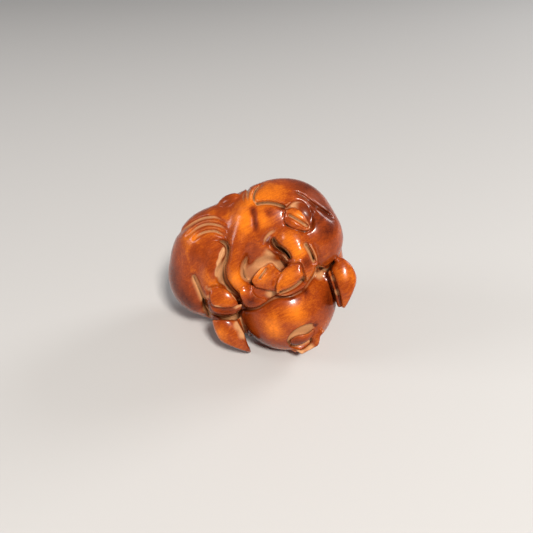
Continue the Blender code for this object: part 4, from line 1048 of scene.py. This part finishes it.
@dataclass
class Mouth(Feature):
    """The open mouth low on the head, with its tongue and the snout's angular rim."""

    def shape(self) -> None:
        """Builds up the snout, cuts the mouth and lays the tongue in it."""
        self.snout()
        self.hollow()
        self.tongue()

    def snout(self) -> None:
        """Adds the flesh below the mouth and the thin rim that stands out from it."""
        lip = 0.5 * self.units(self.sizes.lip_thickness)
        rim = (287, 347, 19), (290, 345, 21), (302, 351.5, 17), (315.5, 344.5, 23), (318, 336, 33)
        plate = [(284.5, 349.5), (290, 346.8), (295, 349), (302, 353.8), (310, 349.6), (318.7, 345)]
        plate += [(320, 341), (320.6, 336), (325.5, 330.5), (322, 327.5), (317, 330.5), (315, 333)]
        plate += [(313, 338.6), (310, 343.6), (302, 349.6), (298.6, 349.2), (291, 345.8), (285.5, 346.8)]
        self.clay.add(Ellipsoid(FRONT.at_height(301, 343, 12) + (0, 16, 2), (21, 19, 14)), 3)
        corners = [FRONT.at_height(*place) for place in (*rim, (322.5, 330.5, 39))]
        for a, b in zip(corners, corners[1:]):
            self.clay.add(Limb([a + (-5, 6, 0), b + (-5, 6, 0)], [1.4 * lip, 1.4 * lip]), 1)
            self.clay.add(Trimmed(Limb([a, b], [1.7 * lip, 1.7 * lip]), plate, 0.8, 1), 0.4)

    def hollow(self) -> None:
        """Cuts the mouth, deepest between the tongue and the rim."""
        mouth = [(287, 340), (290, 334.5), (295, 329.6), (301.3, 326), (308, 323.8), (315.5, 323), (319, 325)]
        mouth += [(321, 328), (316, 331.5), (313, 338.6), (310, 343.4), (302, 349.2), (297, 348.6)]
        deep = [(291, 343), (299, 344), (306, 341.5), (312, 336.5), (310.5, 343), (302, 349), (297, 348.4)]
        deep += [(291, 345.8)]
        middle = HEAD.seen(304, 336)
        self.clay.cut(Trimmed(Ellipsoid(middle, (24, 7, 24)), [*mouth, (290, 345.5)], 1.2), 0.8)
        self.clay.cut(Trimmed(Ellipsoid(middle, (24, 16, 24)), deep, 1.0), 0.8)

    def tongue(self) -> None:
        """Lays the tongue into the mouth."""
        outline = [(290, 340), (295, 336), (302, 334.2), (308, 333), (314.8, 327.8), (314, 334), (311, 339.8)]
        outline += [(305.5, 343.8), (298.6, 345.8), (291.5, 344.2)]
        tongue = Limb.on(HEAD, (289, 343, -8, 7), (299, 340, -7, 10), (309, 335, -7, 9), (316, 328, -7, 6))
        self.clay.add(Trimmed(tongue, outline, 1.6), 0.5)


@dataclass
class PigCarving:
    """The whole carving, worked in the order in which the forms lie over one another."""

    sizes: CarvingSizes
    low: Place = (-98, -98, -6)
    high: Place = (128, 80, 190)

    def carve(self, clay: Clay) -> None:
        """Works the carving out of clay, down to its planed underside.

        Args:
            clay: A fresh block, with nothing in it.
        """
        for masses in (Trunk, HindLegs, Forelegs):
            masses(clay, self.sizes).shape()
        clay.add(HEAD, 3)
        clay.add(CHEEK, 9)
        for work in (Channels, Hooves, EarsAndTail, SkinFolds, BackRelief, Mouth):
            work(clay, self.sizes).shape()
        clay.soften()
        clay.plane_off(self.sizes.flat_depth / self.sizes.unit)
        clay.make_one_body()


SIZES = CarvingSizes(
    width=0.0460,
    depth=0.0331,
    height=0.0415,
    flat_depth=0.0005,
    cuts={
        Tool.WRINKLE: Cut(0.00046, 0.00080),
        Tool.CLEFT: Cut(0.00034, 0.00068),
        Tool.CREASE: Cut(0.00055, 0.00150),
        Tool.CHANNEL: Cut(0.00086, 0.00215),
    },
    hoof_height=0.0022,
    ear_thickness=0.0042,
    tail_thickness=0.0025,
    lip_thickness=0.0016,
)


class TintedClay(Clay):
    """Clay that remembers how deep the tools have gone, for the bare wood at the bottom of a cut."""

    DEEPEST_PRINT = 8.0
    SKIN = 2.5

    def __init__(self, low: Place, high: Place, step: float) -> None:
        """Fills a block with empty space that no tool has touched."""
        super().__init__(low, high, step)
        self.depth = np.zeros_like(self.field)

    def sink(self, cells: Cells, depth: Array) -> None:
        """Moves the surface into the wood, and keeps how far."""
        super().sink(cells, depth)
        self.depth[cells] += depth

    def join(self, form: Form, blend: float, sign: int) -> None:
        """Adds a form, whose skin is uncut, or cuts one away, whose print counts as a cut.

        Args:
            form: The form.
            blend: How far from the corner between form and wood the fillet starts.
            sign: 1 to add the form and -1 to cut it away.
        """
        box = self.box_round(form, blend)
        before = self.field[box].copy()
        super().join(form, blend, sign)
        moved = self.field[box] - before
        if sign > 0:
            self.depth[box] *= np.clip(1 + moved / self.SKIN, 0, 1)
        else:
            self.depth[box] += np.clip(moved, 0, self.DEEPEST_PRINT)

    def smoothed(self, reach: int) -> Array:
        """The field averaged over a cube of cells.

        Args:
            reach: How many cells the cube goes each way.

        Returns:
            The average round each cell.
        """
        total = np.clip(self.field, -3.0 * reach * self.step, 3.0 * reach * self.step)
        width = 2 * reach + 1
        for axis in range(3):
            padding = [(reach + 1, reach) if a == axis else (0, 0) for a in range(3)]
            run = np.cumsum(np.pad(total, padding, mode="edge"), axis=axis, dtype=np.float64)
            ahead = np.take(run, range(width, run.shape[axis]), axis=axis)
            behind = np.take(run, range(0, run.shape[axis] - width), axis=axis)
            total = ((ahead - behind) / width).astype(np.float32)
        return total

    def sample(self, grid: Array, points: Array) -> Array:
        """A grid's values at points between its cells.

        Args:
            grid: A value for each cell.
            points: The points in view units.

        Returns:
            The value at each point.
        """
        place = (points - self.low) / self.step
        cell = np.clip(np.floor(place).astype(int), 0, np.array(grid.shape) - 2)
        share = place - cell
        value = np.zeros(len(points))
        for corner in np.ndindex(2, 2, 2):
            weight = np.prod(np.where(corner, share, 1 - share), axis=1)
            value += weight * grid[tuple((cell + corner).T)]
        return value

    def slopes(self, points: Array) -> Array:
        """The outward direction of the surface at points.

        Args:
            points: The points in view units.

        Returns:
            The direction at each, at length one.
        """
        sides = []
        for gap in 0.8 * self.step * np.eye(3):
            sides.append(self.sample(self.field, points + gap) - self.sample(self.field, points - gap))
        return unit(np.column_stack(sides) + 1e-9)


class Signal:
    """A value, a vector or a colour that flows through a material and joins others by arithmetic."""

    def __init__(self, sheet: NodeSheet, socket: bpy.types.NodeSocket) -> None:
        """Wraps the socket that the value comes from."""
        self.sheet = sheet
        self.socket = socket

    def _math(self, operation: str, *values: Signal | float) -> Signal:
        """The result of a Math node on values, given in order."""
        return self.sheet.add("ShaderNodeMath", {"operation": operation}, dict(enumerate(values)))

    def __add__(self, other: Signal | float) -> Signal:
        """Self plus other."""
        return self._math("ADD", self, other)

    def __radd__(self, other: float) -> Signal:
        """Other plus self."""
        return self._math("ADD", other, self)

    def __sub__(self, other: Signal | float) -> Signal:
        """Self less other."""
        return self._math("SUBTRACT", self, other)

    def __rsub__(self, other: float) -> Signal:
        """Other less self."""
        return self._math("SUBTRACT", other, self)

    def __mul__(self, other: Signal | float) -> Signal:
        """Self times other."""
        return self._math("MULTIPLY", self, other)

    def __rmul__(self, other: float) -> Signal:
        """Other times self."""
        return self._math("MULTIPLY", other, self)

    def limited(self) -> Signal:
        """The value kept between 0 and 1."""
        return self.between(0.0, 1.0)

    def between(self, low: float, high: float, smooth: bool = False) -> Signal:
        """The value stretched so that low becomes 0 and high 1 and kept there, gently where smooth is set."""
        kind = {"interpolation_type": "SMOOTHSTEP" if smooth else "LINEAR"}
        return self.sheet.add("ShaderNodeMapRange", kind, {"Value": self, "From Min": low, "From Max": high})


@dataclass(frozen=True)
class Grain:
    """Cloudy noise: its size in metres, its finer layers and their strength, and how much it is warped."""

    size: float
    layers: float
    strength: float
    warp: float = 0.0


class NodeSheet:
    """A material's nodes, written as expressions."""

    def __init__(self, name: str) -> None:
        """Starts a material.

        Args:
            name: Its name.
        """
        self.material = bpy.data.materials.new(name)
        self.material.use_nodes = True
        self.tree = self.material.node_tree
        self.shader = self.tree.nodes["Principled BSDF"]

    def add(
        self, kind: str, settings: dict[str, object], values: dict[str | int, object], out: str | int = 0
    ) -> Signal:
        """Adds a node.

        Args:
            kind: The node's type.
            settings: Its settings, or for a ramp its stops, which are set first.
            values: The value of each socket, or the signal that feeds it.
            out: The socket that the result comes from.

        Returns:
            The node's result.
        """
        node = self.tree.nodes.new(kind)
        for name, setting in settings.items():
            if name == "stops":
                for place, colour in setting[: len(setting) - 2]:
                    node.color_ramp.elements.new(place)
                for element, (place, colour) in zip(node.color_ramp.elements, setting):
                    element.position, element.color = place, (*colour, 1.0)
            else:
                setattr(node, name, setting)
        for name, value in values.items():
            self.feed(node.inputs[name], value)
        return Signal(self, node.outputs[out])

    def feed(self, socket: bpy.types.NodeSocket, value: object) -> None:
        """Links a signal to a socket, or sets the socket's own value.

        Args:
            socket: The socket.
            value: A signal, a number, a vector or a colour.
        """
        if isinstance(value, Signal):
            self.tree.links.new(value.socket, socket)
        elif socket.type == "RGBA" and len(value) == 3:
            socket.default_value = (*value, 1.0)
        else:
            socket.default_value = value

    def dress(self, values: dict[str, object]) -> None:
        """Sets or feeds sockets of the material's own shader, by name."""
        for name, value in values.items():
            self.feed(self.shader.inputs[name], value)

    def attribute(self, name: str) -> Signal:
        """A number that the mesh holds at each vertex."""
        return self.add("ShaderNodeAttribute", {"attribute_name": name}, {}, "Fac")

    def mix(self, under: Signal | Colour, over: Signal | Colour, share: Signal | float) -> Signal:
        """One colour over another, where share is how much of the upper one shows."""
        return self.add("ShaderNodeMix", {"data_type": "RGBA"}, {0: share, 6: under, 7: over}, 2)

    def noise(self, place: Signal, grain: Grain) -> Signal:
        """Cloudy noise.

        Args:
            place: Where each point lies.
            grain: The kind of noise.

        Returns:
            A number round one half.
        """
        values = {"Vector": place, "Scale": 1 / grain.size, "Detail": grain.layers}
        values |= {"Roughness": grain.strength, "Distortion": grain.warp}
        return self.add("ShaderNodeTexNoise", {}, values)

    def along(self, place: Signal, angles: Place, stretch: float) -> Signal:
        """Places for a pattern that is drawn out along a line.

        Args:
            place: Where each point lies.
            angles: How the line is turned from the X axis, in degrees about each axis.
            stretch: How many times longer than wide the pattern is.

        Returns:
            The places for the pattern.
        """
        turn = tuple(math.radians(a) for a in angles)
        values = {"Vector": place, "Rotation": turn, "Scale": (stretch, 1.0, 1.0)}
        return self.add("ShaderNodeMapping", {"vector_type": "TEXTURE"}, values)


@dataclass(frozen=True)
class StainAndLightTone:
    """How bright the colour is: a middle tone, and how much each cause adds to it, with painted light and
    shade among the causes.
    """

    middle: float = 0.41
    # Thin stain and painted light raise the tone; thick stain and painted shade lower it.
    wear: float = 0.32
    cloud: float = 0.75
    # Painted light on bulges and painted shade in broad hollows.
    swell: float = 0.3
    fibre: float = 0.5
    fleck: float = 0.4

    def mixed(self, wear: Signal, cloud: Signal, swell: Signal, fibre: Signal, fleck: Signal) -> Signal:
        """The tone where the marks and the noises have these values, from 0 for the darkest stain to 1, with
        painted light on bulges, painted shade in broad hollows and the painted light and shade of the spots
        in it.
        """
        tone = self.middle + wear * self.wear + (cloud - 0.5) * self.cloud + swell * self.swell
        return tone + (fibre - 0.5) * self.fibre + (fleck - 0.5) * self.fleck


@dataclass(frozen=True)
class BoxwoodFinish:
    """Boxwood under a glossy red-brown stain that stays thin on high spots and leaves the cuts bare.

    Its colour also holds painted light and shade: painted shade in corners and creases, painted light on
    bulges and painted shade in broad hollows, and lit and shaded spots laid over the worn and thick stain.

    Each range gives where a mark starts to show and where it shows in full.
    """

    dark: Colour = (0.075, 0.009, 0.002)
    middle: Colour = (0.27, 0.040, 0.004)
    bright: Colour = (0.82, 0.205, 0.009)
    bare: Colour = (0.63, 0.33, 0.145)
    # The colour of the painted shade in corners and creases.
    painted_shade: Colour = (0.045, 0.018, 0.008)
    tone: StainAndLightTone = StainAndLightTone()
    middle_tone: float = 0.42
    cut_range: Range = (0.12, 0.42)
    thick_and_shaded_range: Range = (0.2, 0.6)
    corner_range: Range = (0.45, 1.0)
    painted_shade_share: float = 0.7
    rubbed_share: float = 0.45
    worn_share: float = 0.85
    worn_cloud: float = 0.7
    dust_start: float = 0.35
    dust_share: float = 0.9
    gloss: float = 0.26
    matt: float = 0.62
    fleck_roughness: float = 0.08
    specular: float = 0.16
    coat: float = 0.22
    coat_roughness: float = 0.12
    fibre_turn: Place = (0.0, -28.0, 12.0)
    fibre_stretch: float = 9.0
    fibre: Grain = Grain(0.00035, 3.0, 0.6, 0.4)
    cloud: Grain = Grain(0.006, 4.0, 0.6, 0.8)
    fleck: Grain = Grain(0.00022, 2.0, 0.7)
    bump: float = 0.00002
    bump_strength: float = 0.35
    bump_fibre: float = 0.6

    def material(self) -> bpy.types.Material:
        """Builds the finish from the depth of the cuts, the swell of the form and the grain, with painted
        shade where the form is hollow and painted light and shade from the swell and the spots.

        Returns:
            The material.
        """
        sheet = NodeSheet("stained_boxwood")
        place = sheet.add("ShaderNodeTexCoord", {}, {}, "Object")
        cut, hollow, swell, wear = (sheet.attribute(name) for name in ("cut", "hollow", "swell", "wear"))
        fibre = sheet.noise(sheet.along(place, self.fibre_turn, self.fibre_stretch), self.fibre)
        cloud = sheet.noise(place, self.cloud)
        fleck = sheet.noise(place, self.fleck)
        # The tone holds painted light and shade from the swell and from the bright and dark spots.
        tone = self.tone.mixed(wear, cloud, swell, fibre, fleck)
        stops = [(0.0, self.dark), (self.middle_tone, self.middle), (1.0, self.bright)]
        ramp = sheet.add("ShaderNodeValToRGB", {"stops": stops}, {"Fac": tone}, "Color")
        worn = self.worn(cut, hollow, wear, cloud)
        dusty = sheet.mix(self.bare, self.middle, (fleck - self.dust_start) * self.dust_share)
        stained = sheet.mix(ramp, dusty, worn)
        # Painted shade: the colour darkens where the form is hollow, in corners and creases.
        painted_shade_mask = hollow.between(*self.corner_range, smooth=True) * self.painted_shade_share
        rough = self.gloss + worn * (self.matt - self.gloss) + (fleck - 0.5) * self.fleck_roughness
        height = fibre * self.bump_fibre + fleck * (1.0 - self.bump_fibre)
        values = {"Strength": self.bump_strength, "Distance": self.bump, "Height": height}
        sheet.dress(
            {
                "Base Color": sheet.mix(stained, self.painted_shade, painted_shade_mask),
                "Roughness": rough,
                "Coat Weight": self.coat * (1.0 - worn),
                "Coat Roughness": self.coat_roughness,
                "Specular IOR Level": self.specular,
                "Normal": sheet.add("ShaderNodeBump", {}, values),
            }
        )
        return sheet.material

    def worn(self, cut: Signal, hollow: Signal, wear: Signal, cloud: Signal) -> Signal:
        """Where the wood is bare: in the cuts, but not under thick stain nor under painted shade, and a
        little on sharp edges.

        Args:
            cut: How deep the tools went, from 0 to 1.
            hollow: How hollow the form is, from -1 on sharp edges to 1 in corners.
            wear: How thin the stain is, from -1 to 1, with painted light and shade in it.
            cloud: The cloudy noise, which makes it uneven.

        Returns:
            The share of the stain that is gone, from 0 to 1.
        """
        rubbed = (0.0 - hollow).between(*self.corner_range, smooth=True) * self.rubbed_share
        # Thick stain and painted shade keep the wood from showing bare.
        thick = (0.0 - wear).between(*self.thick_and_shaded_range, smooth=True)
        uneven = self.worn_share + (cloud - 0.5) * self.worn_cloud
        return (cut.between(*self.cut_range, smooth=True) * uneven * (1.0 - thick) + rubbed).limited()


def row(start: Spot, end: Spot, radius: float, count: int) -> tuple[Place, ...]:
    """Spots in a row.

    Args:
        start: Where the first one lies in the front view.
        end: Where the last one lies.
        radius: Their radius.
        count: How many there are.

    Returns:
        The spots.
    """
    across, down = np.linspace(start, end, count).T
    return tuple((float(x), float(y), radius) for x, y in zip(across, down))


@dataclass(frozen=True)
class PatinaAndLight:
    """Where the stain is worn thin and bright, where it has stayed thick and dark, and where none is left,
    and where light and shade are painted among the bright and dark spots.

    Each spot is x, y and radius as the front view shows it, and softness widens them all. A spot sits on the
    point that is nearest the eye within the slack, where a unit beyond the slack counts strictness times.
    """

    # Bright spots: stain worn thin, and painted light on raised parts that face the light, such as the top
    # haunch's front, the hooked foreleg's ridge and the head round its highlight.
    thin: tuple[Place, ...] = (
        (271, 190, 12), (252, 197, 5), (242, 213, 6), (243, 227, 6), (262, 219, 6), (237, 279, 7),
        (289, 240, 6), (299, 253, 5), (299, 214, 4), (258, 272, 6), (287, 275, 7), (272, 328, 8),
        (296, 311, 9), (345, 275, 4), (188, 236, 7), (218, 334, 5),
    )
    # Dark spots: thick stain, and painted shade and shadow in the gap under the lower-left hoof, along the
    # lower edges of the hooves, in the recess under the hooked foreleg, under the tongue, at the head's lower
    # edge and on sides turned from the light.
    thick: tuple[Place, ...] = (
        (304, 184, 12), (324, 206, 8), (326, 223, 10), (171, 277, 9), (178, 296, 9), (190, 306, 7),
        (253, 303, 5), (330, 302, 8), (296, 343, 5), (303, 345, 4), (262, 343, 10), (268, 213, 3),
        (307, 209, 5), (222, 315, 6), (234, 315, 6), (205, 305, 4), (293, 297, 3), (306, 290, 3),
        (314, 278, 3), (226, 199, 5), (311, 324, 2), (316, 326, 2), (308, 262, 4),
        *row((271, 241), (287, 260), 2.8, 7),
        (327, 217, 8), (283, 207, 3),
        *row((252, 208), (255, 228), 2.0, 8),
    )
    bare: tuple[Place, ...] = (
        (270, 254, 5), (281, 265, 4), (272, 294, 5), (321, 275, 5), (334, 279, 3), (338, 293, 3),
        (208, 290, 3), (206, 298, 3), (225, 311, 4), (311, 348, 4), (300, 353, 4), (238, 325, 4),
        (243, 335, 4), (262, 262, 5),
        *row((223, 247), (217, 274), 1.8, 12),
        *row((229, 288), (239, 301), 1.3, 8),
        *row((214, 307), (231, 311), 1.3, 8),
        *row((231, 311), (240, 306), 1.3, 5),
    )
    softness: float = 1.3
    slack: float = 1.5
    strictness: float = 40.0

    def on(self, spots: tuple[Place, ...], points: Array) -> Array:
        """How much each point of the surface is one of some spots.

        Args:
            spots: The spots.
            points: All the points of the surface, in view units.

        Returns:
            For each point, from 0 off the spots to 1 or more on them.
        """
        x, y = FRONT.project(*points.T)
        away = np.linalg.norm(points - FRONT.eye, axis=1)
        total = np.zeros(len(points))
        for across, down, radius in spots:
            off = np.maximum(np.hypot(x - across, y - down) - self.slack, 0)
            centre = points[np.argmin(away + self.strictness * off)]
            total += np.exp(-((points - centre) ** 2).sum(1) / (self.softness * radius) ** 2)
        return total

    def wear(self, points: Array) -> Array:
        """How thin the stain is at points of the surface, from -1 where it is thick to 1, with painted light
        and shade.
        """
        return np.clip(self.on(self.thin, points) - self.on(self.thick, points), -1, 1)


def vertex_places(mesh: bpy.types.Mesh) -> Array:
    """Where the vertices of a mesh lie.

    Args:
        mesh: The mesh.

    Returns:
        The place of each in a row.
    """
    places = np.empty(3 * len(mesh.vertices))
    mesh.vertices.foreach_get("co", places)
    return places.reshape(-1, 3)


@dataclass
class CarvedPig:
    """The finished carving: its fine surface, the marks that its finish reads, and its place on the solid.

    The marks are reckoned in view units: how far from a point is near and how far is broad, how deep a full
    cut is, how hollow a corner is and how high a full swell is. Step is the size of the clay's cells.
    """

    sizes: CarvingSizes = SIZES
    finish: BoxwoodFinish = BoxwoodFinish()
    patina_and_light: PatinaAndLight = PatinaAndLight()
    step: float = 0.85
    quick_step: float = 1.5
    faces: int = 195_000
    near: float = 1.7
    broad: float = 9.0
    full_cut: float = 8.0
    full_corner: float = 0.7
    full_swell: float = 4.0
    bare_share: float = 0.4
    unit: float = field(init=False)
    base: Array = field(init=False)

    def build(self) -> bpy.types.Object:
        """Carves the surface and makes it one object.

        Returns:
            The carving.
        """
        carving = PigCarving(self.sizes)
        clay = TintedClay(carving.low, carving.high, self.step)
        carving.carve(clay)
        points, quads = clay.surface()
        log.info("carved %d faces", len(quads))
        mesh = bpy.data.meshes.new("pig_fine")
        mesh.from_pydata(points.tolist(), [], quads.tolist())
        pig = bpy.data.objects.new("carved_pig", mesh)
        bpy.context.scene.collection.objects.link(pig)
        self.lighten(pig, 2 * len(quads))
        self.mark(pig.data, clay)
        self.set_down(pig.data)
        pig.data.materials.append(self.finish.material())
        return pig

    def lighten(self, pig: bpy.types.Object, faces: int) -> None:
        """Merges faces where the surface is smooth, until it is light enough.

        Args:
            pig: The carving.
            faces: How many triangles it has.
        """
        fewer = pig.modifiers.new("Fewer faces", "DECIMATE")
        fewer.ratio = min(1.0, self.faces / faces)
        fine = pig.data
        pig.data = bpy.data.meshes.new_from_object(pig.evaluated_get(bpy.context.evaluated_depsgraph_get()))
        pig.data.name = "carved_pig"
        pig.modifiers.clear()
        bpy.data.meshes.remove(fine)

    def mark(self, mesh: bpy.types.Mesh, clay: TintedClay) -> None:
        """Gives each vertex its smooth normal and the four marks that the finish reads.

        Args:
            mesh: The carving's mesh, in view units.
            clay: The clay that it was read from.
        """
        points = vertex_places(mesh)
        mesh.shade_smooth()
        mesh.normals_split_custom_set_from_vertices(clay.slopes(points).tolist())
        near, broad = (clay.smoothed(max(1, round(r / clay.step))) for r in (self.near, self.broad))
        height = clay.sample(clay.field, points)
        bare = self.patina_and_light.on(self.patina_and_light.bare, points)
        deep = clay.sample(clay.depth, points) / self.full_cut
        # The hollow mark sets the painted shade in corners, the swell mark painted light on bulges and
        # painted shade in broad hollows, and the last mark the worn and thick stain with painted light and
        # shade.
        marks = {
            "cut": np.clip(deep + self.bare_share * bare, 0, 1),
            "hollow": np.clip((height - clay.sample(near, points)) / self.full_corner, -1, 1),
            "swell": np.clip((clay.sample(broad, points) - height) / self.full_swell, -1, 1),
            "wear": self.patina_and_light.wear(points),
        }
        for name, values in marks.items():
            mark = mesh.attributes.new(name, "FLOAT", "POINT")
            mark.data.foreach_set("value", values.astype(np.float32))

    def set_down(self, mesh: bpy.types.Mesh) -> None:
        """Brings the mesh to its real place, within the box of the solid that it stands for.

        Args:
            mesh: The carving's mesh, in view units.
        """
        points = vertex_places(mesh)
        low, high = points.min(0), points.max(0)
        solid_low, solid_high = (np.array(corner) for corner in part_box(NODE))
        scale = (solid_high - solid_low) / (high - low)
        mesh.vertices.foreach_set("co", (solid_low + (points - low) * scale).ravel())
        mesh.update()
        self.unit = float(scale.mean())
        self.base = low - solid_low / scale


@dataclass(frozen=True)
class Lamp:
    """A square studio lamp: where it hangs, how wide it is, its power in watts and its colour."""

    place: Place
    width: float
    power: float
    colour: Colour = (1.0, 1.0, 1.0)

    def hang(self, name: str, target: Vector) -> None:
        """Hangs the lamp.

        Args:
            name: Its name.
            target: The point that it is turned to.
        """
        light = bpy.data.lights.new(name, "AREA")
        light.size, light.energy, light.color = self.width, self.power, self.colour
        lamp = bpy.data.objects.new(name, light)
        lamp.location = self.place
        lamp.rotation_euler = (target - lamp.location).to_track_quat("-Z", "Y").to_euler()
        bpy.context.scene.collection.objects.link(lamp)


@dataclass
class Studio:
    """A pale table, soft lamps and a camera that looks at the carving as the front view does.

    Unit is the length of one view unit, and base is the place of the scene's origin in view units.
    """

    unit: float
    base: Place
    image: float = 533.0
    sensor: float = 36.0
    table: float = 4.0
    table_colour: Colour = (0.50, 0.49, 0.48)
    table_roughness: float = 0.6
    nearest: float = 0.005
    target: Place = (0.0, 0.0, 0.02)
    sky: Colour = (0.82, 0.83, 0.86)
    sky_strength: float = 0.22
    lamps: dict[str, Lamp] = field(
        default_factory=lambda: {
            "key": Lamp((0.15, -0.51, 0.60), 0.12, 8.8, (1.0, 0.95, 0.89)),
            "left": Lamp((-0.81, -0.06, 0.36), 0.30, 2.7),
            "right": Lamp((0.66, 0.36, 0.42), 0.30, 3.2),
        }
    )

    def build(self) -> None:
        """Lays the table, hangs the lamps and sets the camera."""
        self.lay_table()
        self.set_camera()
        world = bpy.data.worlds.new("soft_daylight")
        world.use_nodes = True
        background = world.node_tree.nodes["Background"]
        background.inputs["Color"].default_value = (*self.sky, 1.0)
        background.inputs["Strength"].default_value = self.sky_strength
        bpy.context.scene.world = world
        bpy.context.scene.view_settings.view_transform = "Standard"
        for name, lamp in self.lamps.items():
            lamp.hang(f"{name}_lamp", Vector(self.target))

    def lay_table(self) -> None:
        """Lays a plain pale table under the carving."""
        half = self.table / 2
        mesh = bpy.data.meshes.new("table")
        corners = [(-half, -half, 0), (half, -half, 0), (half, half, 0), (-half, half, 0)]
        mesh.from_pydata(corners, [], [(0, 1, 2, 3)])
        sheet = NodeSheet("pale_table")
        sheet.dress({"Base Color": self.table_colour, "Roughness": self.table_roughness})
        mesh.materials.append(sheet.material)
        table = bpy.data.objects.new("table", mesh)
        bpy.context.scene.collection.objects.link(table)

    def set_camera(self) -> None:
        """Sets the camera where the front view's eye is, with its framing."""
        lens = bpy.data.cameras.new("camera")
        lens.lens = self.sensor * FRONT.distance / self.image
        lens.sensor_width = self.sensor
        lens.shift_x = (self.image / 2 - FRONT.centre[0]) / self.image
        lens.shift_y = (FRONT.centre[1] - self.image / 2) / self.image
        lens.clip_start = self.nearest
        camera = bpy.data.objects.new("camera", lens)
        eye = (FRONT.eye - self.base) * self.unit
        rows = np.column_stack([FRONT.across, FRONT.up, -FRONT.ahead])
        camera.matrix_world = Matrix.Translation(Vector(eye)) @ Matrix(rows.tolist()).to_4x4()
        bpy.context.scene.collection.objects.link(camera)
        bpy.context.scene.camera = camera


def main() -> None:
    """Builds the carving and its studio, and hides the solid that it stands for."""
    logging.basicConfig(level=logging.INFO, format="%(name)s: %(message)s")
    carving = CarvedPig()
    pig = carving.build()
    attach(pig, "root")
    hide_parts(NODE)
    log.info("%s: %d faces", pig.name, len(pig.data.polygons))
    Studio(carving.unit, carving.base).build()
    log.info("studio is lit")


if __name__ == "__main__":
    main()
